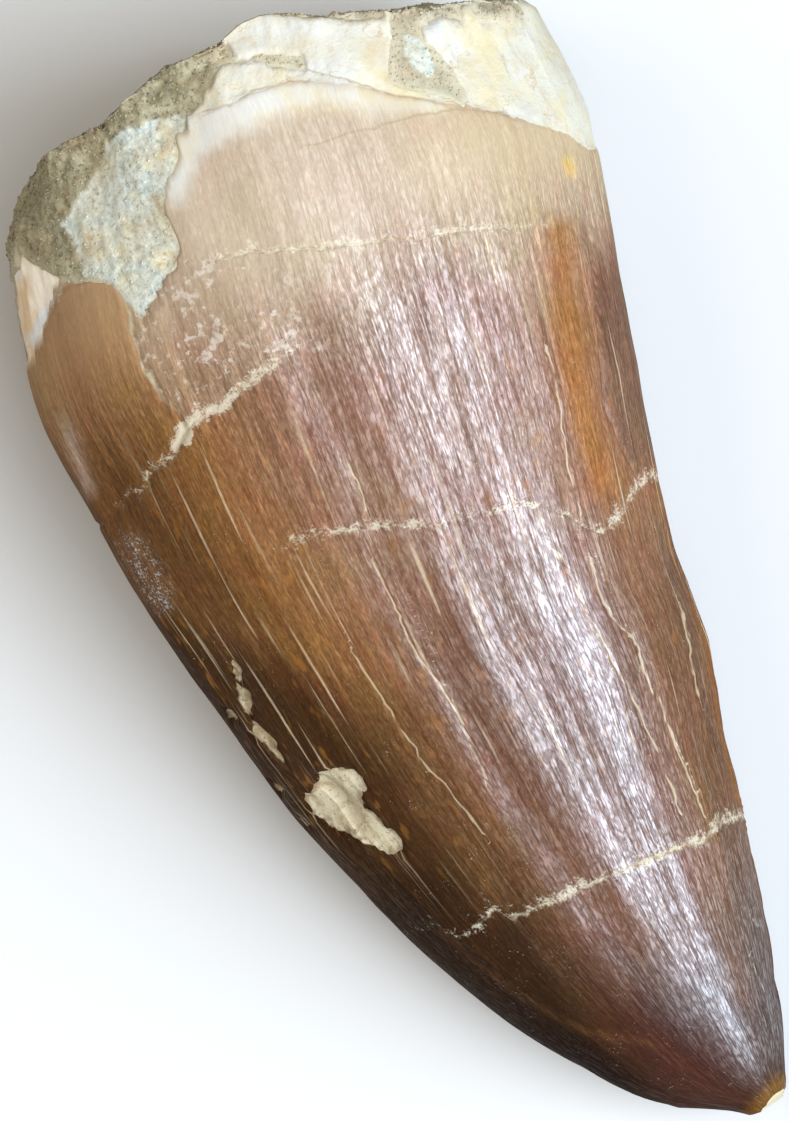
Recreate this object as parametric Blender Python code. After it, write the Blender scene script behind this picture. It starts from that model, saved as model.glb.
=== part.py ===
"""Fossil mosasaur tooth lying on its side: the crown with its broken root, and the matrix on the break.

+Y runs along the tooth from the tip to the root, +X towards its trailing edge, and +Z up from the
surface it lies on. The origin is under the middle of the tooth, on that surface.
"""

import math
from collections import namedtuple

import bmesh
import bpy
import numpy as np
from mathutils import Matrix, Vector, noise

MM = 0.001

# Driving dimensions, in millimetres. X is measured from the middle of the tooth's width.
Section = namedtuple("Section", "along left right crest crest_x under")
SECTIONS = [
    Section(along=0.0, left=2.3, right=4.2, crest=5.3, crest_x=3.2, under=3.1),
    Section(along=1.0, left=0.9, right=4.5, crest=6.2, crest_x=3.0, under=2.3),
    Section(along=2.0, left=-0.4, right=4.8, crest=7.1, crest_x=2.8, under=1.6),
    Section(along=3.2, left=-1.9, right=5.15, crest=8.0, crest_x=2.6, under=1.05),
    Section(along=5.1, left=-3.6, right=5.7, crest=9.2, crest_x=2.2, under=0.45),
    Section(along=7.4, left=-5.1, right=6.3, crest=10.4, crest_x=1.9, under=0.1),
    Section(along=10.2, left=-6.7, right=6.75, crest=11.8, crest_x=1.6, under=-0.12),
    Section(along=15.3, left=-9.05, right=7.65, crest=14.0, crest_x=1.2, under=-0.25),
    Section(along=20.3, left=-10.65, right=8.6, crest=15.8, crest_x=1.0, under=-0.3),
    Section(along=25.4, left=-11.7, right=9.35, crest=17.2, crest_x=0.9, under=-0.3),
    Section(along=30.5, left=-12.55, right=10.6, crest=18.5, crest_x=0.9, under=-0.3),
    Section(along=35.6, left=-13.2, right=11.9, crest=19.6, crest_x=1.0, under=-0.3),
    Section(along=40.7, left=-13.6, right=13.1, crest=20.5, crest_x=1.0, under=-0.3),
    Section(along=44.8, left=-12.9, right=13.85, crest=20.8, crest_x=1.0, under=-0.2),
    Section(along=48.0, left=-12.2, right=13.75, crest=20.7, crest_x=1.0, under=0.1),
    Section(along=57.0, left=-11.6, right=13.0, crest=20.2, crest_x=1.0, under=0.9),
]
EQUATOR_SHARE = 0.47  # height of the widest level between the underside and the crest
CREST_POWER = 2.1  # superellipse power of the upper half, 2 being an ellipse
UNDER_POWER = 3.0  # the side it lies on is the flatter one

# It lies on a flat triangle underneath: its corners in X and distance from the tip.
REST_CORNERS = [(-4.6, 44.6), (5.8, 43.6), (0.9, 13.0)]
REST_INSET = 0.25
REST_CLEARANCE = 0.07  # how far everything else stays above the surface

# The broken end: X, then how far from the tip the break lies.
BREAK_LINE = [
    (-13.0, 45.9),
    (-12.0, 47.5),
    (-9.6, 49.4),
    (-7.8, 50.4),
    (-4.4, 50.9),
    (-2.5, 51.5),
    (0.0, 51.7),
    (1.5, 52.3),
    (4.6, 51.3),
    (7.4, 50.7),
    (8.6, 50.6),
    (9.7, 49.9),
    (10.6, 49.7),
    (12.6, 48.6),
    (13.4, 46.7),
]
BREAK_ROUGHNESS = 0.5
BREAK_LUMP = 3.4  # size of the lumps on the break
BREAK_CELL = 1.15
BEYOND = 62.0  # how far the cutters for the broken end reach

# Where the enamel ends and the root begins, as for the break.
ENAMEL_LINE = [(-13.6, 45.5), (-4.0, 50.4), (0.0, 51.0), (3.0, 50.0), (6.4, 47.0), (10.1, 44.6), (13.6, 41.3)]
ENAMEL_LEDGE = 0.3
LEDGE_RUN = 0.9

# The cutting edges: distance from the tip, then degrees above the level of the widest point.
TRAILING_EDGE = [(0.0, 12.0), (10.0, 6.0), (22.0, 8.0), (27.0, 16.0), (31.0, 27.0), (38.0, 30.0), (57.0, 30.0)]
LEADING_EDGE = [(0.0, 40.0), (6.0, 42.0), (13.0, 32.0), (25.0, 20.0), (36.0, 15.0), (57.0, 15.0)]
EDGE_HEIGHT = 0.42
EDGE_FOOT = 1.3  # how far the foot of a cutting edge spreads to each side
EDGE_START = (0.0, 2.5)  # they rise between these distances from the tip
EDGE_FADE = (34.0, 44.0)  # and die out between these

# Broad flutes that run along the crown, and the slow swell of its surface.
FLUTES = 15
FLUTE_DEPTH = 0.085
FLUTE_START = (4.0, 14.0)
FLUTE_WANDER = 1.6
SWELL = 0.3
SWELL_LENGTH = 9.0

# Grid of the surface.
UPPER_COLUMNS = 46
LOWER_COLUMNS = 34
RINGS = 42
TIP_CROWDING = 1.35  # above 1, the rings stand closer together towards the tip

# The matrix, seen from above: the line along which it meets the tooth at the top.
SHOULDER = [(-16.0, 42.6), (-13.3, 43.3), (-11.2, 45.1), (-9.6, 44.9), (-7.9, 42.7), (-6.4, 44.0), (-5.1, 45.2)]
SHOULDER += [(-4.8, 47.0), (-3.4, 48.6), (-2.3, 50.0), (-0.6, 51.2)]
CRUST = [(1.4, 51.7), (3.4, 51.2), (4.9, 50.6)]
LOBE = [(5.0, 49.0), (5.1, 47.8), (5.9, 47.1), (7.3, 46.6), (8.5, 46.0), (8.8, 47.6), (8.9, 49.3)]
RIM = [(9.7, 49.2), (11.0, 48.9), (13.0, 47.9), (16.0, 46.0)]
MATRIX_LINE = SHOULDER + CRUST + LOBE + RIM
MATRIX_LEAN = 0.42  # how far its inner wall moves towards the break for each millimetre down
CRUST_THICKNESS = 0.9
MATRIX_TOP = 26.0
MATRIX_LINE_LEVEL = 18.0  # height at which the line above holds
MATRIX_FOOT = 5.5  # height of its lower edge on the break, in the middle
MATRIX_FOOT_SLOPE = 0.22
MATRIX_LEVELS = 16
MATRIX_WALL_LUMP = 2.5
MATRIX_GAP = 0.25
MATRIX_LUMPS = 0.3
MATRIX_LUMP_SIZE = 1.6

# Chips where enamel has flaked off: centre, half length, half width, turn in degrees, depth.
Chip = namedtuple("Chip", "name x along half_length half_width turn depth side")
CHIPS = [
    Chip("round_chip", -8.3, 19.3, half_length=2.35, half_width=1.3, turn=21.0, depth=0.5, side=1),
    Chip("long_chip", -10.4, 26.1, half_length=1.5, half_width=0.45, turn=-3.0, depth=0.4, side=1),
    Chip("lower_long_chip", -10.3, 23.7, half_length=1.5, half_width=0.42, turn=12.0, depth=0.4, side=1),
    Chip("crack_nick", -8.1, 37.5, half_length=0.65, half_width=0.4, turn=25.0, depth=0.3, side=1),
    Chip("underside_chip", 5.6, 30.0, half_length=2.5, half_width=1.4, turn=-25.0, depth=0.5, side=-1),
]
CHIP_ROUGHNESS = 0.35

ENAMEL = dict(base_color=(0.30, 0.15, 0.07), roughness=0.35)
SEDIMENT = dict(base_color=(0.42, 0.37, 0.26), roughness=0.9)


def clear_scene():
    for item in list(bpy.data.objects):
        bpy.data.objects.remove(item)


def material(name, base_color, roughness):
    made = bpy.data.materials.new(name)
    made.use_nodes = True
    shader = made.node_tree.nodes["Principled BSDF"]
    shader.inputs["Base Color"].default_value = (*base_color, 1.0)
    shader.inputs["Roughness"].default_value = roughness
    shader.inputs["Metallic"].default_value = 0.0
    return made


def smooth_line(points, at):
    """The height at one x of the cubic curve through these (x, y) points."""
    xs, ys = np.array(points, float).T
    slopes = np.gradient(ys, xs)
    at = min(max(at, xs[0]), xs[-1])
    left = int(np.clip(np.searchsorted(xs, at) - 1, 0, len(xs) - 2))
    run = xs[left + 1] - xs[left]
    s = (at - xs[left]) / run
    start = (1 + 2 * s) * (1 - s) ** 2 * ys[left] + s * (1 - s) ** 2 * run * slopes[left]
    end = s * s * (3 - 2 * s) * ys[left + 1] + s * s * (s - 1) * run * slopes[left + 1]
    return float(start + end)


def straight_line(points, at):
    xs, ys = np.array(points, float).T
    return float(np.interp(at, xs, ys))


def eased(span, value):
    """0 before the span, 1 after it, and a smooth step between."""
    low, high = span
    s = min(max((value - low) / (high - low), 0.0), 1.0)
    return s * s * (3 - 2 * s)


def section_at(along):
    """The Section at any distance from the tip. The square root of the distance keeps the tip round."""
    stations = [math.sqrt(section.along) for section in SECTIONS]
    values = {}
    for field in Section._fields[1:]:
        heights = [getattr(section, field) for section in SECTIONS]
        values[field] = smooth_line(list(zip(stations, heights)), math.sqrt(along))
    return Section(along, **values)


def edge_angles(along):
    """Angles round the section of the trailing and the leading cutting edge, in radians."""
    trailing = math.radians(smooth_line(TRAILING_EDGE, along))
    leading = math.pi - math.radians(smooth_line(LEADING_EDGE, along))
    return trailing, leading


def section_point(section, angle):
    """A point of the smooth crown, the way out from the section's middle, and its distance from there."""
    equator = section.under + EQUATOR_SHARE * (section.crest - section.under)
    cos, sin = math.cos(angle), math.sin(angle)
    half_x = section.right - section.crest_x if cos >= 0 else section.crest_x - section.left
    half_z = section.crest - equator if sin >= 0 else equator - section.under
    power = CREST_POWER if sin >= 0 else UNDER_POWER
    radius = (abs(cos / half_x) ** power + abs(sin / half_z) ** power) ** (-1 / power)
    out = Vector((cos, 0.0, sin))
    return Vector((section.crest_x, section.along, equator)) + radius * out, out, radius


def relief(point, angle, radius, edges):
    """How far the surface stands out from the smooth crown at that point, in millimetres."""
    ridge = 0.0
    for edge in edges:
        away = abs(math.remainder(angle - edge, 2 * math.pi)) * radius
        ridge += math.exp(-((away / EDGE_FOOT) ** 1.2))
    ridge *= EDGE_HEIGHT * (1 - eased(EDGE_FADE, point.y)) * eased(EDGE_START, point.y)
    wander = FLUTE_WANDER * noise.noise(Vector((math.cos(angle), math.sin(angle), point.y * 0.03)) * 1.7)
    flute = FLUTE_DEPTH * math.cos(FLUTES * angle + 2 * wander) * eased(FLUTE_START, point.y)
    swell = SWELL * noise.noise(point / SWELL_LENGTH + Vector((3.0, 1.0, 5.0)))
    ledge = ENAMEL_LEDGE * eased((-LEDGE_RUN, LEDGE_RUN), point.y - straight_line(ENAMEL_LINE, point.x))
    return ridge + flute + swell - ledge


def envelope_rings(lumps):
    """Rings of points from the tip to beyond the break, for the unbroken form of tooth and matrix together."""
    rings = []
    for share in np.linspace(0.0, 1.0, RINGS) ** TIP_CROWDING:
        section = section_at(share * SECTIONS[-1].along)
        edges = trailing, leading = edge_angles(section.along)
        angles = [
            *np.linspace(trailing, leading, UPPER_COLUMNS, endpoint=False),
            *np.linspace(leading, trailing + 2 * math.pi, LOWER_COLUMNS, endpoint=False),
        ]
        ring = []
        for angle in angles:
            point, out, radius = section_point(section, angle)
            stands = relief(point, angle, radius, edges) + lumps * noise.noise(point / MATRIX_LUMP_SIZE)
            ring.append(point + out * stands)
        rings.append(ring)
    return rings


def lay_flat(rings):
    """Puts the points inside the resting triangle on the surface it lies on, and lifts all others clear of it."""
    under = [point for ring in rings for point in ring if point.z < 2.0]
    corners = [min(under, key=lambda point: (point.xy - Vector(corner)).length) for corner in REST_CORNERS]
    sides = list(zip(corners, [*corners[1:], corners[0]]))
    turning = [(end.xy - start.xy).normalized() for start, end in sides]
    for point in under:
        depths = [way.cross(start.xy - point.xy) for way, (start, end) in zip(turning, sides)]
        inside = min(depths) > REST_INSET
        point.z = 0.0 if inside or point in corners else max(point.z, REST_CLEARANCE)


def mesh_object(name, work):
    """An object that holds the bmesh, whose points are in millimetres."""
    bmesh.ops.scale(work, vec=(MM, MM, MM), verts=work.verts)
    bmesh.ops.recalc_face_normals(work, faces=work.faces)
    mesh = bpy.data.meshes.new(name)
    work.to_mesh(mesh)
    work.free()
    made = bpy.data.objects.new(name, mesh)
    bpy.context.collection.objects.link(made)
    return made


def cutter(name, work):
    """A helper that Boolean modifiers use and that isn't a piece of the tooth."""
    made = mesh_object(name, work)
    made.hide_render = True
    made.display_type = "WIRE"
    return made


def bridge(work, low, high):
    """Faces between two closed rings of vertices."""
    for corner in range(len(low)):
        beside = (corner + 1) % len(low)
        work.faces.new((low[corner], low[beside], high[beside], high[corner]))


def envelope(name, lumps=0.0):
    """The unbroken form of tooth and matrix together."""
    work = bmesh.new()
    rings = envelope_rings(lumps)
    lay_flat(rings)
    rows = [[work.verts.new(point) for point in ring] for ring in rings]
    for low, high in zip(rows, rows[1:]):
        bridge(work, low, high)
    work.faces.new(rows[0])
    work.faces.new(rows[-1])
    flat = [face for face in work.faces if all(vert.co.z == 0.0 for vert in face.verts)]
    bmesh.ops.dissolve_faces(work, faces=flat)
    return mesh_object(name, work)


def block_beyond(name, columns, levels, near):
    """Block from a grid of near points, one for each column and level, straight back beyond the tooth."""
    work = bmesh.new()
    front = [[work.verts.new(near(column, level)) for column in columns] for level in levels]
    back = [[work.verts.new((vert.co.x, BEYOND, vert.co.z)) for vert in row] for row in front]
    for rows in (front, back):
        for low, high in zip(rows, rows[1:]):
            for corner in range(len(low) - 1):
                work.faces.new((low[corner], low[corner + 1], high[corner + 1], high[corner]))
    rim = [*front[0], *(row[-1] for row in front[1:]), *front[-1][-2::-1], *(row[0] for row in front[-2:0:-1])]
    far = [*back[0], *(row[-1] for row in back[1:]), *back[-1][-2::-1], *(row[0] for row in back[-2:0:-1])]
    bridge(work, rim, far)
    bmesh.ops.triangulate(work, faces=work.faces[:])
    return cutter(name, work)


def broken_point(x, z):
    """A point of the rough broken end."""
    lump = noise.fractal(Vector((x, 0.0, z)) / BREAK_LUMP, 0.8, 2.0, 3)
    return Vector((x, straight_line(BREAK_LINE, x) + BREAK_ROUGHNESS * lump, z))


def break_block():
    columns = np.arange(-16.0, 16.01, BREAK_CELL)
    levels = np.arange(-2.0, 26.01, BREAK_CELL)
    return block_beyond("break_block", columns, levels, broken_point)


def moved_aside(line, gap):
    """The line moved towards its left by the gap, with mitred corners."""
    points = [Vector(point) for point in line]
    ways = [(b - a).normalized() for a, b in zip(points, points[1:])]
    moved = []
    for point, before, after in zip(points, [ways[0], *ways], [*ways, ways[-1]]):
        normal = Vector((-before.y - after.y, before.x + after.x)).normalized()
        mitre = max(0.4, normal.dot(Vector((-after.y, after.x))))
        moved.append(point + normal * gap / mitre)
    return moved


def matrix_region(name, gap):
    """Block over the end that holds the matrix. Its inner wall leans towards the break, down to a crust."""
    line = moved_aside(MATRIX_LINE, gap)

    def near(column, level):
        x, along = line[column]
        foot = MATRIX_FOOT + MATRIX_FOOT_SLOPE * x + gap
        z = foot + level * (MATRIX_TOP - foot)
        crust = straight_line(BREAK_LINE, x) - CRUST_THICKNESS + gap
        wall = along + MATRIX_LEAN * (MATRIX_LINE_LEVEL - z)
        lump = MATRIX_LUMPS * noise.noise(Vector((x, 7.0, z)) / MATRIX_WALL_LUMP)
        return Vector((x, min(wall, max(along, crust)) + lump, z))

    return block_beyond(name, range(len(line)), np.linspace(0.0, 1.0, MATRIX_LEVELS), near)


def surface_angle(section, x, side):
    """The angle at which the section has that x, on its upper side (1) or underneath (-1)."""
    angles = np.linspace(0.0, math.pi, 361) * side
    return min(angles, key=lambda angle: abs(section_point(section, angle)[0].x - x))


def chip_cutter(chip):
    """A flattened, lumpy pebble that cuts the chip out of the crown's surface."""
    section = section_at(chip.along)
    angle = surface_angle(section, chip.x, chip.side)
    point, out, radius = section_point(section, angle)
    surface = point + out * relief(point, angle, radius, edge_angles(chip.along))
    lengthwise = (Vector((0.0, 1.0, 0.0)) - out * out.y).normalized()
    frame = Matrix((lengthwise.cross(out), lengthwise, out)).transposed()
    frame = frame @ Matrix.Rotation(math.radians(chip.turn), 3, "Z")
    thick = 2.2 * chip.depth
    work = bmesh.new()
    bmesh.ops.create_icosphere(work, subdivisions=3, radius=1.0)
    for vert in work.verts:
        rough = 1 + CHIP_ROUGHNESS * noise.noise(vert.co * 1.8 + Vector((chip.x, chip.along, 0.0)))
        shape = Vector((vert.co.x * chip.half_width, vert.co.y * chip.half_length, vert.co.z * thick))
        vert.co = surface + out * (thick - chip.depth) + frame @ (shape * rough)
    return cutter(chip.name, work)


def boolean(target, operation, other):
    modifier = target.modifiers.new(f"{operation.lower()} {other.name}", "BOOLEAN")
    modifier.operation = operation
    modifier.object = other
    modifier.solver = "EXACT"


def shade(target, finish):
    target.data.materials.append(finish)
    target.data.shade_smooth()
    target.data.set_sharp_from_angle(angle=math.radians(38))


def centre_over_origin(parts, helpers):
    """Moves everything so that the middle of the tooth's footprint is at the origin."""
    bpy.context.view_layer.update()
    graph = bpy.context.evaluated_depsgraph_get()
    corners = [Vector(corner) for part in parts for corner in part.evaluated_get(graph).bound_box]
    middle_x = (min(c.x for c in corners) + max(c.x for c in corners)) / 2
    middle_y = (min(c.y for c in corners) + max(c.y for c in corners)) / 2
    for item in [*parts, *helpers]:
        item.data.transform(Matrix.Translation((-middle_x, -middle_y, 0.0)))


def main():
    clear_scene()
    tooth = envelope("tooth")
    matrix = envelope("matrix", lumps=MATRIX_LUMPS)
    broken_end = break_block()
    socket = matrix_region("matrix_socket", gap=0.0)
    filling = matrix_region("matrix_filling", gap=MATRIX_GAP)
    chips = [chip_cutter(chip) for chip in CHIPS]
    boolean(tooth, "DIFFERENCE", broken_end)
    boolean(tooth, "DIFFERENCE", socket)
    for chip in chips:
        boolean(tooth, "DIFFERENCE", chip)
    boolean(matrix, "DIFFERENCE", broken_end)
    boolean(matrix, "INTERSECT", filling)
    shade(tooth, material("enamel", **ENAMEL))
    shade(matrix, material("sediment", **SEDIMENT))
    centre_over_origin([tooth, matrix], [broken_end, socket, filling, *chips])


main()
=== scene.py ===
"""Fossil mosasaur tooth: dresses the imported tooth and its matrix, and lights them on a pale table.

The surface is worked out in millimetres: X across the tooth towards its trailing edge, the distance
from the tip along it, and the height above the table. Outlines of markings are as seen from above.
"""

import functools
import math

import bmesh
import bpy
import numpy as np
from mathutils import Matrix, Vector
from mathutils.bvhtree import BVHTree


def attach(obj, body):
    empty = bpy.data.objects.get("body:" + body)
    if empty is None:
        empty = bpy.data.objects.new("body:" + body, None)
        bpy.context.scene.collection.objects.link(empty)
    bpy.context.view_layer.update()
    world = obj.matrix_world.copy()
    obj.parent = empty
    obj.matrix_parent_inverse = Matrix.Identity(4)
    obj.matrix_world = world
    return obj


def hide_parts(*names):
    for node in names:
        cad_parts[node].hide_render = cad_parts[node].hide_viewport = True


bl_info = {
    "name": "Fossil Mosasaur Tooth",
    "version": (1, 0, 0),
    "blender": (4, 5, 0),
    "location": "3D View > Sidebar > Fossil Tooth",
    "description": "Dresses the packed fossil tooth with striated enamel, bone, matrix and sand grains",
    "category": "Object",
}

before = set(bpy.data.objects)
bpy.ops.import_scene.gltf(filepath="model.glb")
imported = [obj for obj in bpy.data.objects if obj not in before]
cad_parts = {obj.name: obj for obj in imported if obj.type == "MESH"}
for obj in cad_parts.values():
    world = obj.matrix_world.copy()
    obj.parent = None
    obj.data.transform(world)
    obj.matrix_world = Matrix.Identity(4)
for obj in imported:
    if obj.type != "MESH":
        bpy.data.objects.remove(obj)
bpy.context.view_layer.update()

MM = 0.001
MIDDLE_X = 0.06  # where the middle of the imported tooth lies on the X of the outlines
TIP_Y = min(vertex.co.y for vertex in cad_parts["tooth"].data.vertices) / MM

# The camera looks straight down at this place.
AIM = np.array((-2.01, 28.59))
AIM_HEIGHT = 320.0
OUTLINE_LEVEL = 8.0  # the outlines of markings are drawn as they appear at this height
CAMERA_TURN = 24.0
CAMERA_LENS = 230.4

# Middle of the section: distance from the tip, X, height.
SPINE = [
    (0.0, 3.2, 4.1), (1.0, 3.0, 4.1), (3.2, 2.6, 4.3), (5.1, 2.2, 4.55), (7.4, 1.9, 4.95),
    (10.2, 1.6, 5.5), (15.3, 1.2, 6.5), (20.3, 1.0, 7.25), (25.4, 0.9, 7.9), (30.5, 0.9, 8.5),
    (35.6, 1.0, 9.05), (40.7, 1.0, 9.5), (48.0, 1.0, 9.8), (57.0, 1.0, 10.0),
]
# The cutting edges: distance from the tip, then degrees above the level of the middle.
TRAILING_EDGE = [
    (0.0, 12.0), (10.0, 6.0), (22.0, 8.0), (25.0, 16.0), (27.0, 29.0), (29.0, 35.0), (31.0, 39.0),
    (33.0, 36.0), (35.5, 31.0), (38.0, 26.0), (42.0, 22.0), (57.0, 22.0),
]
LEADING_EDGE = [(0.0, 40.0), (6.0, 42.0), (13.0, 32.0), (25.0, 20.0), (36.0, 15.0), (57.0, 15.0)]

# The tooth's outline as seen from above: distance from the tip, then the X of its left and right side.
OUTLINE = [
    (0.0, 2.2, 4.0), (0.6, 1.7, 4.2), (1.5, 0.2, 4.5), (3.0, -1.7, 5.1), (5.0, -3.4, 5.6),
    (8.0, -5.5, 6.4), (12.0, -7.6, 7.3), (16.0, -9.1, 8.0), (20.0, -10.5, 9.0), (24.0, -11.4, 9.3),
    (28.0, -12.2, 10.1), (32.0, -12.9, 11.1), (36.0, -13.2, 12.0), (40.0, -13.6, 13.0),
    (43.0, -13.2, 13.6), (45.0, -12.7, 13.6), (47.0, -12.1, 13.4), (48.0, -11.7, 13.4),
]

# Cracks across the crown, and the edge of the enamel.
CRACK_TIP = [
    (-7.3, 13.4), (-6.7, 13.3), (-6.4, 12.7), (-5.8, 12.5), (-5.0, 12.6), (-4.2, 13.0),
    (-3.7, 12.2), (-2.4, 12.3), (-1.1, 12.2), (0.7, 12.25), (2.1, 12.15), (4.1, 12.1), (5.5, 12.0),
    (6.1, 12.4), (7.3, 12.3),
]
CRACK_MIDDLE = [
    (-13.0, 32.1), (-10.0, 31.4), (-6.5, 31.2), (-5.5, 31.1), (-4.6, 31.0), (-3.9, 30.8),
    (-2.9, 30.4), (-1.8, 30.1), (-0.8, 29.7), (0.6, 29.1), (1.4, 28.9), (2.8, 28.8), (3.7, 28.8),
    (4.1, 28.5), (5.2, 27.7), (5.9, 27.1), (6.0, 26.7), (6.7, 26.0), (7.5, 26.2), (8.2, 26.7),
    (9.0, 27.3),
]
CRACK_FROST = [
    (-13.2, 35.5), (-10.6, 35.9), (-10.1, 36.5), (-9.0, 36.6), (-8.4, 37.2), (-7.2, 37.7),
    (-6.3, 37.7), (-5.3, 38.0), (-4.4, 38.2), (-3.3, 38.5), (-1.8, 38.6), (-1.1, 37.7),
    (0.6, 37.4), (3.1, 36.3), (7.0, 35.5), (12.0, 33.3),
]
CRACK_UPPER = [
    (-6.8, 44.9), (-4.3, 43.8), (-2.3, 43.4), (-0.3, 42.6), (0.5, 42.2), (2.0, 41.8), (3.5, 41.4),
    (4.3, 41.0), (5.1, 40.9), (7.2, 40.2), (9.1, 39.5), (10.3, 39.1), (12.1, 38.4),
]
ENAMEL_EDGE = [
    (-9.5, 47.6), (-4.9, 49.4), (-2.0, 49.9), (-1.1, 49.7), (0.5, 49.7), (1.9, 49.5), (3.1, 49.2),
    (5.0, 48.1), (6.4, 47.0), (8.3, 45.9), (10.1, 44.5), (11.5, 43.3), (12.5, 42.4), (13.0, 41.4),
]

# Patches of matrix.
SHOULDER = [
    (0.1, 52.9), (-1.3, 52.9), (-4.3, 52.5), (-7.6, 52.0), (-9.8, 51.0), (-12.5, 50.0),
    (-11.7, 48.1), (-11.2, 46.9), (-10.7, 46.1), (-10.2, 45.4), (-9.4, 45.1), (-8.7, 44.7),
    (-8.3, 44.1), (-8.1, 43.3), (-7.9, 42.6), (-7.2, 43.1), (-6.3, 43.6), (-5.6, 44.0),
    (-5.0, 44.7), (-4.9, 45.5), (-5.0, 46.5), (-4.5, 47.3), (-4.0, 47.8), (-3.4, 48.6),
    (-2.8, 49.4), (-2.4, 49.9), (-1.5, 50.0), (-0.9, 50.6), (0.0, 51.2), (0.8, 51.4), (0.7, 52.0),
]
LOBE = [
    (7.5, 51.0), (8.6, 51.2), (9.7, 50.9), (10.9, 49.5), (10.2, 48.8), (9.4, 49.3), (8.8, 49.3),
    (8.4, 48.8), (8.7, 48.2), (8.9, 47.6), (9.1, 46.9), (9.1, 46.1), (9.1, 45.5), (8.7, 45.4),
    (8.3, 46.0), (7.8, 46.5), (7.1, 46.9), (6.6, 47.3), (6.3, 47.7), (6.3, 48.2), (6.8, 49.0),
    (7.2, 49.5),
]
SANDY_SEAM = [
    (-0.8, 51.5), (0.0, 51.6), (0.8, 51.5), (1.8, 51.2), (2.6, 50.8), (3.4, 50.3), (3.5, 49.8),
    (3.2, 49.6), (2.4, 50.0), (1.5, 50.6), (0.7, 51.1), (-0.2, 51.2), (-0.7, 50.9),
]
LEFT_CRUST = [
    (1.5, 54.0), (2.5, 53.6), (3.9, 53.0), (5.5, 52.2), (6.8, 51.8), (7.9, 51.4), (7.4, 50.1),
    (6.6, 50.4), (5.4, 51.0), (3.8, 51.8), (2.3, 52.5),
]
RIGHT_CRUST = [
    (10.7, 50.0), (11.3, 50.0), (12.4, 49.5), (13.5, 48.6), (14.3, 47.0), (13.9, 45.0),
    (13.2, 45.9), (13.0, 46.9), (12.5, 47.4), (11.8, 47.7), (11.2, 48.2), (10.8, 48.7),
]
MATRIX_OUTLINES = [SHOULDER, LOBE, SANDY_SEAM, LEFT_CRUST, RIGHT_CRUST]
PALE_PATCH = [
    (-9.3, 47.8), (-8.5, 48.4), (-7.8, 48.8), (-6.5, 50.0), (-5.8, 50.4), (-4.8, 50.5),
    (-3.9, 50.5), (-2.6, 49.9), (-4.0, 47.6), (-4.7, 47.2), (-5.0, 46.3), (-4.9, 45.5),
    (-5.0, 44.7), (-6.3, 43.6), (-7.9, 42.6), (-8.3, 44.1), (-8.7, 44.7), (-9.3, 45.6),
    (-9.2, 46.6),
]
LOBE_HEART = [
    (7.7, 49.5), (8.2, 49.2), (8.3, 48.7), (8.4, 48.0), (8.4, 47.4), (7.9, 47.1), (7.5, 47.6),
    (7.3, 48.5),
]

# Damage and wear on the crown.
ROUND_CHIP = [
    (-9.5, 21.1), (-9.1, 21.3), (-8.6, 21.5), (-7.7, 21.2), (-7.3, 20.8), (-7.1, 20.3),
    (-7.5, 19.9), (-7.4, 19.0), (-7.1, 18.2), (-6.7, 17.6), (-6.9, 17.0), (-7.5, 16.9),
    (-8.0, 17.6), (-8.7, 18.5), (-9.3, 19.2), (-9.8, 20.0), (-9.9, 20.7),
]
LONG_CHIP = [
    (-10.3, 27.5), (-10.1, 27.0), (-10.4, 26.3), (-10.1, 25.7), (-10.5, 25.0), (-10.7, 25.3),
    (-10.7, 26.1), (-10.5, 27.0),
]
LOWER_CHIP = [
    (-10.5, 24.7), (-10.3, 24.3), (-10.0, 23.6), (-10.0, 22.4), (-10.2, 22.8), (-10.5, 23.7),
    (-10.8, 24.6),
]
EDGE_CHIPS = [
    [(-11.4, 25.7), (-11.1, 25.5), (-11.1, 25.0), (-11.5, 25.2)],
    [(-10.9, 22.2), (-10.7, 21.8), (-10.5, 21.2), (-10.8, 21.4)],
    [(-10.4, 20.3), (-10.2, 19.9), (-9.9, 19.3), (-10.3, 19.5)],
]
CRACK_BLOB = [(-8.1, 37.9), (-7.8, 37.7), (-7.8, 37.2), (-8.2, 36.8), (-8.6, 37.0)]
EDGE_FRAGMENT = [
    (-12.6, 48.2), (-11.2, 49.9), (-10.8, 48.9), (-11.2, 47.5), (-10.8, 46.7), (-10.3, 45.9),
    (-11.1, 45.0), (-12.2, 43.8), (-13.1, 42.8), (-14.5, 43.0), (-14.5, 47.0),
]
FRAGMENT_STREAKS = [
    [(-12.8, 43.7), (-12.0, 44.4), (-11.3, 44.9)],
    [(-12.2, 48.1), (-12.1, 47.6), (-12.1, 46.8)],
]
FRAGMENT_STAIN = [(-12.0, 46.2), (-12.4, 45.2), (-12.7, 44.4), (-12.9, 43.3)]
GOLD_FLECK = [(11.9, 40.9), (12.0, 41.4)]
SMOOTH_LOBE = [
    (-13.3, 42.8), (-12.6, 43.5), (-11.6, 44.4), (-11.1, 44.9), (-10.5, 45.3), (-9.8, 45.4),
    (-9.1, 45.3), (-8.5, 44.8), (-8.1, 44.1), (-8.1, 43.5), (-8.4, 42.2), (-8.6, 40.7),
    (-8.3, 38.9), (-8.0, 38.3), (-8.1, 37.4), (-9.0, 36.6), (-10.1, 36.4), (-10.6, 35.9),
    (-16.0, 34.5), (-16.0, 42.5),
]
WORN_BAND = [
    (-4.6, 47.2), (-3.4, 48.6), (-2.4, 49.9), (-1.4, 50.2), (0.0, 50.2), (1.3, 50.1), (2.8, 49.6),
    (4.2, 48.4), (6.4, 46.9), (8.3, 45.7), (7.4, 45.9), (5.8, 46.6), (4.3, 47.5), (2.6, 48.1),
    (1.3, 48.2), (-0.1, 48.3), (-1.6, 48.7), (-3.0, 48.2), (-4.0, 46.9),
]
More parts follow.
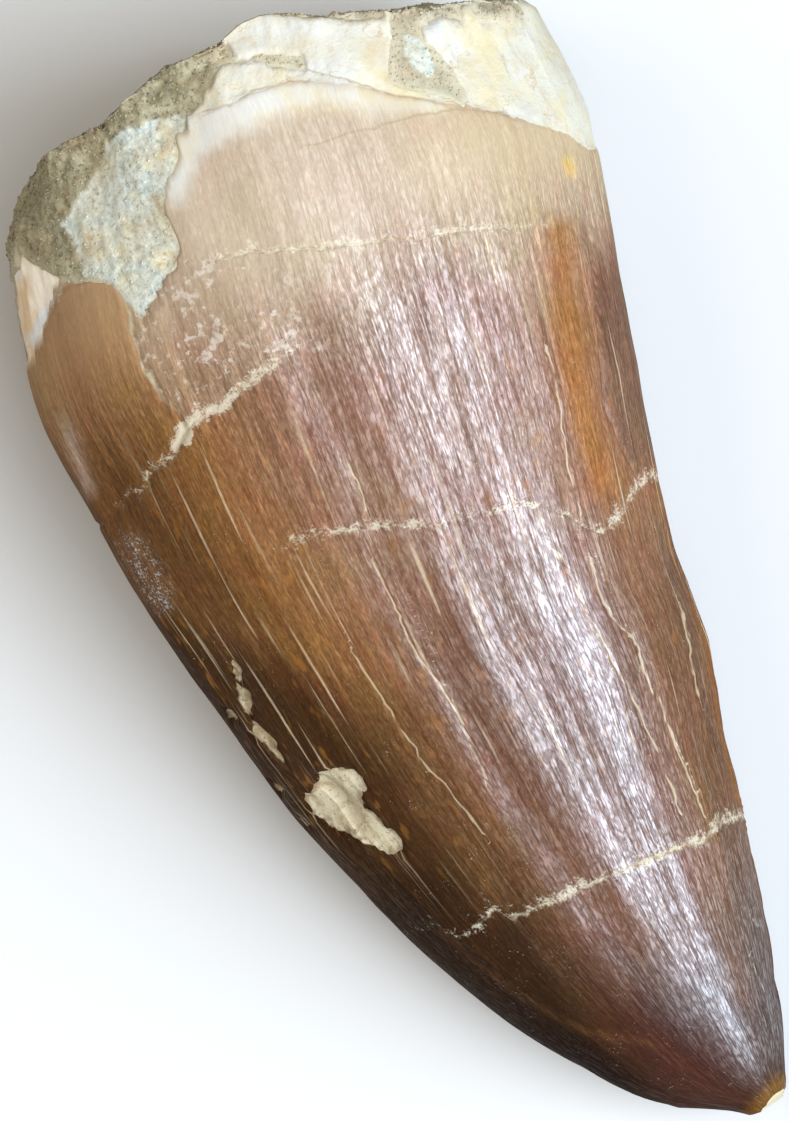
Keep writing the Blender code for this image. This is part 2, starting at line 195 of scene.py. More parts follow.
ORANGE_STAIN = [(5.8, 49.6), (6.9, 49.3), (6.5, 48.5), (5.8, 48.8)]
BONE_WHITES = [
    [(9.0, 49.4), (9.7, 48.6), (9.6, 47.8), (9.2, 47.5), (8.8, 48.1), (8.6, 48.8)],
    [
        (1.5, 52.5), (3.8, 51.7), (5.3, 50.9), (7.2, 50.0), (7.0, 49.6), (5.1, 50.4), (3.5, 51.2),
        (1.9, 51.5),
    ],
    [(1.6, 50.8), (2.9, 49.7), (4.2, 48.4), (6.3, 47.2), (5.9, 47.9), (5.2, 49.0), (4.0, 49.6)],
]
HAIRLINES = [
    [
        (-2.9, 29.1), (-2.8, 27.0), (-2.8, 25.7), (-2.7, 23.9), (-2.4, 22.9), (-2.3, 21.7),
        (-2.2, 20.1), (-2.3, 18.0),
    ],
    [
        (-5.3, 25.9), (-5.0, 23.6), (-4.8, 22.1), (-4.5, 20.7), (-4.4, 19.8), (-3.9, 18.7),
        (-3.7, 17.7), (-3.2, 16.0),
    ],
    [
        (4.5, 26.2), (4.9, 25.0), (4.7, 23.4), (4.8, 21.8), (4.9, 19.9), (5.0, 18.5), (5.1, 16.9),
        (4.9, 13.3),
    ],
    [
        (5.8, 25.2), (5.6, 23.3), (5.7, 22.0), (6.1, 21.6), (6.0, 18.7), (6.0, 17.0), (5.9, 15.9),
        (5.8, 12.9),
    ],
    [(8.6, 21.9), (8.2, 19.9), (7.7, 17.7)],
    [(7.8, 34.4), (7.6, 33.0), (6.7, 29.8), (6.4, 28.0), (6.0, 26.7)],
    [(4.6, 28.3), (4.5, 26.6), (4.6, 25.3), (4.7, 23.5)],
    [(-2.1, 33.3), (-2.2, 31.1)],
]
BROWN_SEAMS = [
    [(2.2, 46.5), (3.6, 46.4), (4.9, 46.1), (6.4, 45.9), (7.9, 45.6), (9.0, 45.2)],
    [(-1.6, 49.8), (-0.1, 49.6), (0.9, 49.8), (2.1, 49.5), (3.1, 49.2)],
    [(3.3, 49.6), (4.6, 48.6), (5.7, 47.5), (6.4, 47.0), (8.3, 45.7), (10.1, 44.5)],
]
ORANGE_STRIPE = [(10.3, 38.6), (9.4, 35.9), (8.4, 33.0), (7.9, 30.4), (7.6, 28.1)]
AMBER_RIM = [(9.9, 29.0), (9.8, 27.9), (9.7, 23.4), (8.4, 17.3), (7.4, 13.0)]
TIP_RIDGE = [(-6.7, 13.1), (-5.8, 11.0), (-4.7, 9.1), (-3.9, 7.9), (-3.1, 6.9), (-2.6, 6.4), (-0.4, 4.8)]
GREY_STREAK = [(-12.7, 39.7), (-12.8, 38.4), (-12.9, 36.8)]
WHITE_SPECKLE = [(-12.2, 33.8), (-12.0, 32.6), (-12.0, 31.2)]
TIP_MARKS = [
    [(5.8, 8.7), (6.0, 7.6)],
    [(5.1, 7.6), (5.2, 7.3)],
    [(5.2, 6.8), (5.0, 4.9)],
    [(-0.8, 7.5), (-0.7, 7.4)],
]
RED_PATCH = [(4.4, 7.7), (4.8, 6.5), (4.2, 4.6), (3.6, 4.7), (3.7, 6.3)]

# The worn facet at the tip: the way it faces, and a point on it.
TIP_FACET_WAY = (0.4, -0.9, 0.2)
TIP_FACET_POINT = (3.6, 0.0, 4.25)

# Where each crack shows, as X and a share from 0 to 1, then its width and its powder against the widest.
CRACK_SHOWS = {
    "crack_tip": (
        [(-7.5, 0.3), (-6.5, 0.6), (-4.2, 0.9), (1.0, 0.85), (2.5, 1.0), (8.0, 0.95)], 1.15, 0.65
    ),
    "crack_middle": (
        [(-7.2, 0.0), (-5.8, 0.65), (-1.5, 0.9), (1.0, 0.6), (4.0, 0.65), (6.0, 1.0), (9.0, 0.85)], 0.85, 0.7
    ),
    "crack_frost": (
        [(-13.0, 0.0), (-11.0, 0.3), (-9.0, 0.5), (-8.0, 0.9), (-3.5, 0.5), (-1.5, 0.0)], 0.85, 1.3
    ),
    "crack_upper": ([(-7.0, 0.5), (-4.0, 1.0), (8.5, 0.9), (11.0, 0.2)], 0.6, 0.5),
}

# Grid of the surface: cells round the upper and the lower side, and rows between one crack and the next.
UPPER_CELLS = 440
LOWER_CELLS = 180
CELLS = UPPER_CELLS + LOWER_CELLS
EQUAL_SIDES = UPPER_CELLS / CELLS
CRACK_ROWS = (0.06, 0.13, 0.21, 0.32, 0.46, 0.65)  # rows this far from a crack, on both sides
ROWS_BETWEEN = (38, 46, 20, 12, 14, 10)
CRACK_GAP = 1.2  # least distance between two cracks
RIM_GAP = 0.5  # and between the last of them and the rim
CAP_ROWS = 7
END_ROWS = 40
LOWER_SHOWN = (0.1, 0.85)  # shares of the lower side between which it is hidden from above
TIP_REACH = 3.0  # the worn facet lies within this distance from the tip
MATRIX_START = 41.0  # no matrix lies nearer to the tip
FAR = 4.0  # distances from the cracks across the crown are cut off here
MERGE = 1e-8  # points closer than this, in metres, become one
ROUND = 6.28  # the way round the crown, in units of the strand's coordinates

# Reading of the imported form, in millimetres where it isn't a count or a share.
COARSE_CELLS = 320
COARSE_STEP = 0.32
COARSE_END = 54.0
WHOLE_CROWN = 44.0  # the crown is whole up to here
END_SAMPLE = 40  # rows at the root side whose widest radius is the measure of a missed one
MISSED_SHARE = 0.8
LEAST_RADIUS = 5.0
OUTSIDE = 40.0  # rays towards the spine start this far from it
PAST_END = 70.0  # and those towards the broken end start here
OUTLINE_ROUNDS = 2
MOST_TRIM = 0.6  # most that one round corrects the outline by
RIM_ROUNDS = 4
RIM_GUESS = 49.0
RIM_RANGE = (44.5, 52.6)
RIM_SHARE = 0.94  # share of the radius at which the rim's place is read
END_SHARES = 24  # places from the rim to the middle at which the broken end is read
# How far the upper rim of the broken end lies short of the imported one: X, then millimetres.
END_TRIM = [
    (1.0, 0.0), (3.4, 0.2), (5.0, 0.45), (7.5, 0.95), (9.0, 0.85), (11.0, 1.35), (12.0, 0.8),
    (13.0, 0.1),
]
END_SHORT = 0.22  # how far all of it does
POWDER_REACH = (0.45, 0.25)  # how far powder lies from a crack, towards the root and towards the tip
TABLE_HALF = 1.5  # half the width of the table, in metres

# Patches and lines of colour, by the name of the value that holds the distance from them.
PATCHES = {
    "pale": (PALE_PATCH, LOBE_HEART),
    "fragment": (EDGE_FRAGMENT,),
    "lobe": (SMOOTH_LOBE,),
    "worn": (WORN_BAND,),
    "stain": (ORANGE_STAIN,),
    "bone_white": BONE_WHITES,
    "red": (RED_PATCH,),
}
LINES = {
    "stripe": (ORANGE_STRIPE,),
    "amber_rim": (AMBER_RIM,),
    "tip_ridge": (TIP_RIDGE,),
    "grey": (GREY_STREAK,),
    "fragment_streak": FRAGMENT_STREAKS,
    "fragment_stain": (FRAGMENT_STAIN,),
    "gold": (GOLD_FLECK,),
    "speckle": (WHITE_SPECKLE,),
}
# Values that the enamel's material reads from the mesh.
ENAMEL_VALUES = ("strand", "girth", "along", "frost", "powder", "crack", "hairline", "seam", "speckle")
ENAMEL_VALUES += ("lobe", "bare", "root", "fragment", "worn", "tip_mark", "fold", "gloss", "open")

# Colours of small marks, of the clay and of the sand.
WARM_TAN = (0.33, 0.25, 0.145)  # enamel near the root at the right
LOBE_BROWN = (0.26, 0.155, 0.075)
PAST_FOLD = (0.085, 0.055, 0.032)  # added to the tip's colour right of the folded edge
FACET_RIM = (0.15, 0.075, 0.015)
SHARD = (0.66, 0.60, 0.49)
SHARD_BROWN = (0.50, 0.34, 0.18)
SHARD_BLUE = (0.55, 0.59, 0.64)
GOLD = (0.46, 0.30, 0.08)
STRAW = (0.42, 0.35, 0.20)
THREAD = (0.42, 0.33, 0.21)
HAIRLINE = (0.41, 0.33, 0.20)
DIRTY_FILLING = (0.24, 0.18, 0.11)
DUST = (0.44, 0.40, 0.29)
FROST = (0.44, 0.38, 0.31)
SPECK = (0.41, 0.34, 0.26)
GREY_SPECKLE = (0.36, 0.35, 0.33)
SEAM_BROWN = (0.22, 0.15, 0.08)
GREEN_CLAY = (0.33, 0.36, 0.32)
YELLOW_CLAY = (0.40, 0.34, 0.21)
EARTH = (0.19, 0.14, 0.07)
PALE_GRAIN = (0.44, 0.41, 0.33)
FADED_SAND = (0.33, 0.265, 0.18)
RIM_SAND = (0.40, 0.36, 0.25)


def length(name, description, default):
    return bpy.props.FloatProperty(name=name, description=description, default=default, unit="LENGTH")


def power(name, description, default):
    return bpy.props.FloatProperty(name=name, description=description, default=default, unit="POWER")


def paint(name, description, *default):
    return bpy.props.FloatVectorProperty(name=name, description=description, subtype="COLOR", default=default)


class CrownSettings(bpy.types.PropertyGroup):
    """Sizes and colours of the enamel and the bone."""

    wrinkle_spacing: length("Wrinkle Spacing", "Distance between fine enamel wrinkles", 0.00023)
    wrinkle_depth: length("Wrinkle Depth", "Height of the larger enamel wrinkles", 0.000012)
    crack_depth: length("Crack Depth", "Depth of the cracks across the crown", 0.00003)
    chip_depth: length("Chip Depth", "How far a chip's floor lies below the enamel", 0.00025)
    enamel_depth: length("Enamel Thickness", "Step from the enamel down to the root", 0.00007)
    tan: paint("Tan Enamel", "Enamel near the root", 0.345, 0.28, 0.195)
    rose: paint("Rose Enamel", "Enamel in the middle", 0.19, 0.1, 0.058)
    chestnut: paint("Chestnut Enamel", "Enamel along the crest", 0.118, 0.053, 0.026)
    amber: paint("Amber Enamel", "Enamel at the sides", 0.205, 0.1, 0.032)
    # Umber is also laid on as painted shade over the crown's left side and along the folded trailing edge.
    umber: paint("Umber Enamel", "Darkest enamel", 0.008, 0.003, 0.001)
    plum: paint("Plum Enamel", "Enamel at the tip", 0.03, 0.01, 0.007)
    orange: paint("Orange Stain", "Iron stains", 0.24, 0.098, 0.018)
    cream: paint("Cream Filling", "Filled cracks and chips", 0.40, 0.35, 0.24)
    bone: paint("Bone", "Root bone", 0.36, 0.31, 0.19)
    white: paint("Worn White", "Worn bone and enamel", 0.40, 0.39, 0.34)


class MatrixSettings(bpy.types.PropertyGroup):
    """Sizes and colours of the matrix and its sand grains."""

    lump_height: length("Lump Height", "Height of the lumps", 0.00016)
    thickness: length("Thickness", "How deep the matrix reaches into the tooth", 0.0007)
    grain_size: length("Grain Size", "Mean diameter of a sand grain", 0.00013)
    grains_per_mm2: bpy.props.FloatProperty(
        name="Grains per mm2", description="Sand grains on a square millimetre of matrix", default=24.0
    )
    sand: paint("Sand", "Olive sand", 0.18, 0.16, 0.095)
    pale: paint("Pale Clay", "Pale grey-green clay", 0.35, 0.345, 0.275)
    ochre: paint("Ochre", "Yellow flecks", 0.30, 0.22, 0.11)
    speck: paint("Dark Specks", "Dark grains", 0.08, 0.06, 0.035)


class StageSettings(bpy.types.PropertyGroup):
    """The table, the lights and the camera."""

    floor: paint("Table", "Colour of the table", 0.42, 0.41, 0.385)
    window_power: power("Window Power", "Power of the large light at the right", 38.0)
    fill_power: power("Fill Power", "Power of the soft light overhead", 17.0)
    far_side_power: power("Far Side Power", "Power of the warm light at the left", 9.0)
    tip_side_power: power("Tip Side Power", "Power of the low light beyond the tip", 9.0)
    sky: bpy.props.FloatProperty(
        name="Surroundings", description="Strength of the light from all round", default=0.16
    )


def eased(low, high, value):
    """0 below low, 1 above high, and a smooth step between."""
    s = np.clip((value - low) / (high - low), 0.0, 1.0)
    return s * s * (3.0 - 2.0 * s)


def near(distance, width):
    """1 on a line, fading to nothing within about twice the width."""
    return np.exp(-((distance / width) ** 2))


def mixed(first, second, share):
    """Two arrays of colours, or a colour and an array, blended by an array of shares."""
    return np.asarray(first) * (1.0 - share[..., None]) + np.asarray(second) * share[..., None]


def painted(colour, *layers):
    """A colour with layers of other colours over it, each with its share at every point."""
    for layer, share in layers:
        colour = mixed(colour, layer, share)
    return colour


def lattice(x, y, z, seed):
    """A random number from -1 to 1 for each whole-numbered corner."""
    mix = (x * 374761393 + y * 668265263 + z * 2147483647 + seed * 1274126177) & 0xFFFFFFFF
    mix = ((mix ^ (mix >> 13)) * 1274126177) & 0xFFFFFFFF
    return ((mix ^ (mix >> 16)) & 0xFFFF) / 32767.5 - 1.0


def ripple(points, seed, octaves=1):
    """Smooth noise from about -1 to 1 at an array of points, one lump to a unit."""
    total = np.zeros(points.shape[:-1])
    strength = 1.0
    for octave in range(octaves):
        place = points * 2.0**octave + 37.7 * octave
        cell = np.floor(place).astype(np.int64)
        share = place - cell
        share = share * share * (3.0 - 2.0 * share)
        value = 0.0
        for corner in range(8):
            step = np.array((corner & 1, corner >> 1 & 1, corner >> 2))
            weight = np.prod(np.where(step, share, 1.0 - share), axis=-1)
            x, y, z = np.moveaxis(cell + step, -1, 0)
            value = value + weight * lattice(x, y, z, seed + octave)
        total = total + strength * value
        strength *= 0.5
    return total


def spread(values, cells):
    """Gaussian blur of a grid by this many rows and columns, wrapped round the columns."""
    for axis, width in enumerate(cells):
        if width <= 0:
            continue
        reach = int(3 * width) + 1
        weights = np.exp(-0.5 * (np.arange(-reach, reach + 1) / width) ** 2)
        weights /= weights.sum()
        pad = ((reach, reach), (0, 0)) if axis == 0 else ((0, 0), (reach, reach))
        padded = np.pad(values, pad, mode="edge" if axis == 0 else "wrap")
        size = values.shape[axis]
        shifted = (np.take(padded, range(i, i + size), axis=axis) for i in range(len(weights)))
        values = sum(part * weight for part, weight in zip(shifted, weights))
    return values


def closed(values, reach):
    """Fills grooves narrower than the reach, on a grid wrapped round the columns."""
    for pick in (np.maximum, np.minimum):
        for axis in (0, 1):
            result = values
            for shift in range(1, reach + 1):
                for way in (-shift, shift):
                    moved = np.roll(values, way, axis=axis)
                    if axis == 0:
                        edge = slice(0, shift) if way > 0 else slice(-shift, None)
                        moved[edge] = values[edge]
                    result = pick(result, moved)
            values = result
    return values


def spine_at(along):
    stations, *places = np.array(SPINE).T
    return np.stack([np.interp(along, stations, place) for place in places], -1)


def directions(around, along):
    """Angle round the section for a share of the way round, which starts at the trailing edge."""
    trailing, leading = np.array(TRAILING_EDGE).T, np.array(LEADING_EDGE).T
    first = np.radians(np.interp(along, *trailing))
    second = np.pi - np.radians(np.interp(along, *leading))
    upper = first + (second - first) * around / EQUAL_SIDES
    lower = second + (first + 2 * np.pi - second) * (around - EQUAL_SIDES) / (1 - EQUAL_SIDES)
    return np.where(around <= EQUAL_SIDES, upper, lower)


def merged_tree(names):
    """Ray tree of these CAD nodes together, in tooth millimetres."""
    points, faces = [], []
    for name in names:
        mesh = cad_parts[name].data
        start = len(points)
        points += [(v.co.x / MM + MIDDLE_X, v.co.y / MM - TIP_Y, v.co.z / MM) for v in mesh.vertices]
        faces += [[start + corner for corner in polygon.vertices] for polygon in mesh.polygons]
    return BVHTree.FromPolygons(points, faces)


class CoarseCrown:
    """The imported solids' outer form as a smooth distance from the spine, and the broken end's relief."""

    def __init__(self):
        self.tree = merged_tree(("tooth", "matrix"))
        self.around = np.arange(COARSE_CELLS) / COARSE_CELLS
        self.along = np.arange(0.0, COARSE_END, COARSE_STEP)
        radius = np.array([[self.cast(a, y) for a in self.around] for y in self.along])
        # Past the whole crown a ray may miss the outer face, and the row then repeats the one before.
        past_crown = self.along[:, None] > WHOLE_CROWN
        whole = np.where(self.along[:, None] < WHOLE_CROWN, radius, np.nan)[-END_SAMPLE:]
        base = np.nanmax(whole, axis=0, initial=LEAST_RADIUS)
        for row in range(1, len(self.along)):
            lost = (radius[row] < MISSED_SHARE * base) & past_crown[row] | ~np.isfinite(radius[row])
            radius[row] = np.where(lost, radius[row - 1], radius[row])
        self.radius = spread(closed(radius, 2), (2.2, 1.9))
        self.trim = np.zeros((2, len(OUTLINE)))
        for _ in range(OUTLINE_ROUNDS):
            self.fit_outline()
        self.rim = np.full(COARSE_CELLS, RIM_GUESS)
        for _ in range(RIM_ROUNDS):
            self.rim = np.array([self.end_height(a, y, RIM_SHARE) for a, y in zip(self.around, self.rim)])
            self.rim = np.clip(self.rim, *RIM_RANGE)
        self.rim = spread(self.rim[None], (0, 1.2))[0]
        shares = np.linspace(1.0, 0.0, END_SHARES) * RIM_SHARE
        rims = list(zip(self.around, self.rim))
        heights = [[self.end_height(a, y, share) for a, y in rims] for share in shares]
        self.end = spread(closed(np.array(heights), 2), (0.8, 1.0))

    def fit_outline(self):
        """Corrects the two sides so that the outline from above is the drawn one."""
        seen = seen_from_above(self.point(self.around, self.along[:, None] + 0 * self.around))
        for index, (station, left, right) in enumerate(OUTLINE):
            x = [np.interp(station, column[:, 1], column[:, 0]) for column in seen.transpose(1, 0, 2)]
            self.trim[:, index] += np.clip((left - min(x), right - max(x)), -MOST_TRIM, MOST_TRIM)

    def cast(self, around, along):
        """Distance from the spine to the outermost surface on that side."""
        x, z = spine_at(along)
        angle = float(directions(np.array(around), along))
        way = Vector((math.cos(angle), 0.0, math.sin(angle)))
        start = Vector((x, max(along, 0.02), z))
        hit = self.tree.ray_cast(start + way * OUTSIDE, -way)
        return (hit[0] - start).dot(way) if hit[0] else np.nan

    def end_height(self, around, rim, share):
        """How far along the broken end lies, at a share of the way from the spine out to the rim."""
        radius = self.radius_at(np.array([around]), np.array([rim]))[0] * share
        x, z = spine_at(rim)
        angle = float(directions(np.array(around), rim))
        place = Vector((x + radius * math.cos(angle), PAST_END, z + radius * math.sin(angle)))
        hit = self.tree.ray_cast(place, Vector((0.0, -1.0, 0.0)))
        return hit[0].y if hit[0] else rim

    def radius_at(self, around, along):
        """Bilinear look-up of the distance from the spine."""
        row = np.clip(along / COARSE_STEP, 0, len(self.along) - 1.001)
        return look_up(self.radius, row, around * COARSE_CELLS)

    def point(self, around, along):
        """Points of the outer form, in tooth millimetres."""
        angle = directions(around, along)
        spine = spine_at(along)
        radius = self.radius_at(around, along)
        side = np.cos(angle)
        left, right = (np.interp(along, np.array(OUTLINE)[:, 0], trim) for trim in self.trim)
        x = spine[..., 0] + radius * side + np.where(side < 0, left, right) * side**2
        return np.stack([x, along, spine[..., 1] + radius * np.sin(angle)], -1)


def look_up(grid, row, column):
    """Bilinear value of a grid wrapped round its columns."""
    row = np.clip(row, 0, grid.shape[0] - 1.001)
    low, left = np.floor(row).astype(int), np.floor(column).astype(int)
    down, across = row - low, column - left
    left, right = left % grid.shape[1], (left + 1) % grid.shape[1]
    upper = grid[low, left] * (1 - across) + grid[low, right] * across
    lower = grid[low + 1, left] * (1 - across) + grid[low + 1, right] * across
    return upper * (1 - down) + lower * down


def seen_from_above(points):
    """X and distance from the tip at which points appear from the camera, on the level of the outlines."""
    scale = (AIM_HEIGHT - OUTLINE_LEVEL) / (AIM_HEIGHT - points[..., 2])
    return AIM + (points[..., :2] - AIM) * scale[..., None]


def line_rows(coarse, around, line):
    """How far from the tip a line across the crown crosses each column, on the hidden side too."""
    xs, ys = np.array(line).T
    lower = (around - EQUAL_SIDES) / (1 - EQUAL_SIDES)
    hidden = (lower > LOWER_SHOWN[0]) & (lower < LOWER_SHOWN[1])
    stations = np.arange(ys.min() - 1.5, ys.max() + 1.5, 0.06)[:, None]
    seen = seen_from_above(coarse.point(around + 0 * stations, stations + 0 * around))
    beyond = seen[..., 1] > np.interp(seen[..., 0], xs, ys)
    crossing = stations[np.argmax(beyond, axis=0), 0]
    ends = crossing[hidden.nonzero()[0][[0, -1]] + (-1, 1)]
    share = (lower[hidden] - LOWER_SHOWN[0]) / (LOWER_SHOWN[1] - LOWER_SHOWN[0])
    sway = 0.7 * np.sin(share * np.pi) * np.sin(share * 9.0 + ys[0])
    crossing[hidden] = ends[0] + (ends[1] - ends[0]) * share + sway
    angle = 2 * np.pi * around
    ragged = np.stack([np.cos(angle) * 28, np.sin(angle) * 28, 0 * around + ys[0]], -1)
    return spread(crossing[None], (0, 0.8))[0] + 0.07 * ripple(ragged, 5, 2)


def outline_distance(seen, outline):
    """Distance into an outline, in millimetres, and less than zero outside it."""
    corners = np.array(outline)
    inside = np.zeros(seen.shape[:-1], bool)
    nearest = np.full(seen.shape[:-1], 1e9)
    for (x1, y1), (x2, y2) in zip(corners, np.roll(corners, -1, axis=0)):
        nearest = np.minimum(nearest, segment_distance(seen, (x1, y1), (x2, y2)))
        if y1 != y2:
            crosses = (y1 > seen[..., 1]) != (y2 > seen[..., 1])
            inside ^= crosses & (seen[..., 0] < (x2 - x1) * (seen[..., 1] - y1) / (y2 - y1) + x1)
    return np.where(inside, nearest, -nearest)


def segment_distance(seen, start, end):
    start, way = np.array(start), np.subtract(end, start)
    share = np.clip(((seen - start) @ way) / max(way @ way, 1e-9), 0.0, 1.0)
    return np.linalg.norm(seen - start - share[..., None] * way, axis=-1)


def line_distance(seen, line):
    """Distance from a line of straight pieces."""
    return functools.reduce(np.minimum, [segment_distance(seen, a, b) for a, b in zip(line, line[1:])])


def outward(points):
    """Unit normals of a grid of points that closes round its columns."""
    wrapped = np.concatenate([points[:, -1:], points, points[:, :1]], axis=1)
    round_way = (wrapped[:, 2:] - wrapped[:, :-2]) / 2
    along_way = np.gradient(points, axis=0)
    normal = np.cross(along_way, round_way)
    length = np.linalg.norm(normal, axis=-1, keepdims=True)
    return normal / np.maximum(length, 1e-12)


def row_stations(coarse, around):
    """How far along every row lies: the cracks and the rim, all rows, the rim alone and its trim."""
    keys = [np.zeros(len(around))]
    for line in (CRACK_TIP, CRACK_MIDDLE, CRACK_FROST, CRACK_UPPER, ENAMEL_EDGE):
        keys.append(np.maximum(line_rows(coarse, around, line), keys[-1] + CRACK_GAP))
    rim = look_up(np.stack([coarse.rim, coarse.rim]), 0 * around, around * COARSE_CELLS)
    rim_place = coarse.point(around, rim)
    trim = np.interp(rim_place[:, 0], *np.array(END_TRIM).T) * eased(1.0, 13.0, rim_place[:, 2]) + END_SHORT
    rim = rim - trim
    keys.append(np.maximum(rim, keys[-1] + RIM_GAP))
    keys[5] = np.minimum(keys[5], keys[6] - RIM_GAP)
    near_crack = np.array(CRACK_ROWS)[:, None]
    rows = []
    for index, (low, high, count) in enumerate(zip(keys, keys[1:], ROWS_BETWEEN)):
        squeeze = np.minimum(1.0, 0.4 * (high - low) / CRACK_ROWS[-1])
        after_low = near_crack * squeeze if index else np.zeros((0, len(around)))
        start = low + (CRACK_ROWS[-1] * squeeze if index else 0.0)
        stop = high - CRACK_ROWS[-1] * squeeze
        between = start + (stop - start) * ((np.arange(count) + 0.5) / count)[:, None]
        rows += [low[None], low + after_low, between, high - near_crack[::-1] * squeeze]
    rows.append(keys[-1][None])
    return keys, np.concatenate(rows), rim, trim


def crown_points(coarse, around, along):
    """Points of the crown's rows, a little blunted at the tip and closed there by a flat cap."""
    points = coarse.point(np.broadcast_to(around, along.shape), along)
    blunt = 1.0 - 0.08 * (1.0 - np.clip(along / 0.9, 0, 1)) ** 2
    spine = spine_at(along)
    for axis, column in ((0, 0), (2, 1)):
        points[..., axis] = spine[..., column] + (points[..., axis] - spine[..., column]) * blunt
    middle = np.array((*spine_at(0.0), 0.0))[[0, 2, 1]]
    shrink = np.linspace(0.0, 1.0, CAP_ROWS + 1)[:-1, None, None]
    cap = middle + (points[:1] - middle) * shrink
    cap[..., 1] = 0.0
    return np.concatenate([cap, points])


def end_points(coarse, around, rim, trim, rim_points):
    """Points of the broken end from the rim to its middle, and how far each row was moved towards the tip."""
    spine = spine_at(rim)
    end, trims = [], []
    for share in 1.0 - (np.arange(1, END_ROWS + 1) / END_ROWS):
        place = rim_points.copy()
        place[:, 0] = spine[:, 0] + (rim_points[:, 0] - spine[:, 0]) * share
        place[:, 2] = spine[:, 1] + (rim_points[:, 2] - spine[:, 1]) * share
        depth = (1 - share) * (END_SHARES - 1) + 0 * around
        trims.append(END_SHORT + (trim - END_SHORT) * share)
        place[:, 1] = look_up(coarse.end, depth, around * COARSE_CELLS) - trims[-1]
        end.append(place)
    end[-1][:] = np.mean(end[-1], axis=0)
    return np.array(end), trims


def turn_round(coarse, points):
    """-1 at the left side of the outline, 1 at the right side."""
    across = coarse.point(coarse.around, coarse.along[:, None] + 0 * coarse.around)[..., 0]
    left = np.interp(points[..., 1], coarse.along, across.min(axis=1))
    right = np.interp(points[..., 1], coarse.along, across.max(axis=1))
    return np.clip((2 * points[..., 0] - left - right) / (right - left), -1.0, 1.0)


def sheen(turn, along, upward):
    """Share of clear gloss: full right of the crest, and faint near the root and at the right edge."""
    start = -0.62 + 0.4 * eased(10.0, 3.0, along)
    gloss = eased(start, start + 0.7, turn) * eased(0.0, 0.4, upward)
    gloss = gloss * (1.0 - 0.72 * eased(36.0, 42.0, along))
    gloss = gloss * (1.0 - 0.8 * eased(0.6, 0.8, turn) * eased(9.0, 14.0, along))
    gloss = gloss * (1.0 - 0.55 * eased(0.25, 0.55, turn) * eased(24.0, 30.0, along))
    return gloss * eased(0.6, 3.0, along) + 0.5 * eased(-0.3, -0.7, upward)


@functools.cache
def surface():
    """The whole surface as a grid of named arrays: rows from the tip to the rim and over the broken end."""
    coarse = CoarseCrown()
    around = np.arange(CELLS) / CELLS
    keys, along, rim, trim = row_stations(coarse, around)
    crown_part = crown_points(coarse, around, along)
    end, trims = end_points(coarse, around, rim, trim, crown_part[-1])
    points = np.concatenate([crown_part, end])
    way = np.array(TIP_FACET_WAY) / np.linalg.norm(TIP_FACET_WAY)
    past = (points - np.array(TIP_FACET_POINT)) @ way
    at_tip = points[..., 1] < TIP_REACH
    points = points - way * (np.maximum(past, 0.0) * at_tip)[..., None]
    end_start = len(crown_part)
    end_along = np.broadcast_to(along[-1] + 0.01, (END_ROWS, CELLS))
    full = np.concatenate([np.zeros((CAP_ROWS, CELLS)), along, end_along])
    normal = outward(points)
    normal[0] = way
    normal[-1] = (0.0, 1.0, 0.0)
    upward = normal[..., 2]
    turn = turn_round(coarse, points)
    rise = np.sqrt(1 - turn**2) * np.where(upward >= 0, 1.0, -1.0)
    girth = np.linalg.norm(np.diff(points, axis=1, append=points[:, :1]), axis=-1).sum(axis=1)
    grid = {
        "points": points,
        "normal": normal,
        "strand": np.stack([turn, rise, points[..., 1]], -1),
        "gloss": sheen(turn, points[..., 1], upward),
        "seen": seen_from_above(points),
        "along": full,
        "girth": np.broadcast_to(girth[:, None], full.shape),
        "upward": upward,
        "around": np.broadcast_to(around, full.shape),
        "facet": np.where(at_tip, past, -2.0),
        "trimmed": np.concatenate([np.zeros((end_start, CELLS)), trims]),
        "end_start": end_start,
    }
    for name, key in zip(("crack_tip", "crack_middle", "crack_frost", "crack_upper", "root"), keys[1:6]):
        slope = np.gradient(key) / (girth.max() / CELLS)
        grid[name] = np.clip((full - key) / np.sqrt(1 + np.clip(slope, -3, 3) ** 2), -FAR, FAR)
    grid["root"][end_start:] = FAR
    mark_surface(grid)
    shape_surface(grid, bpy.context.scene.fossil_crown)
    return grid


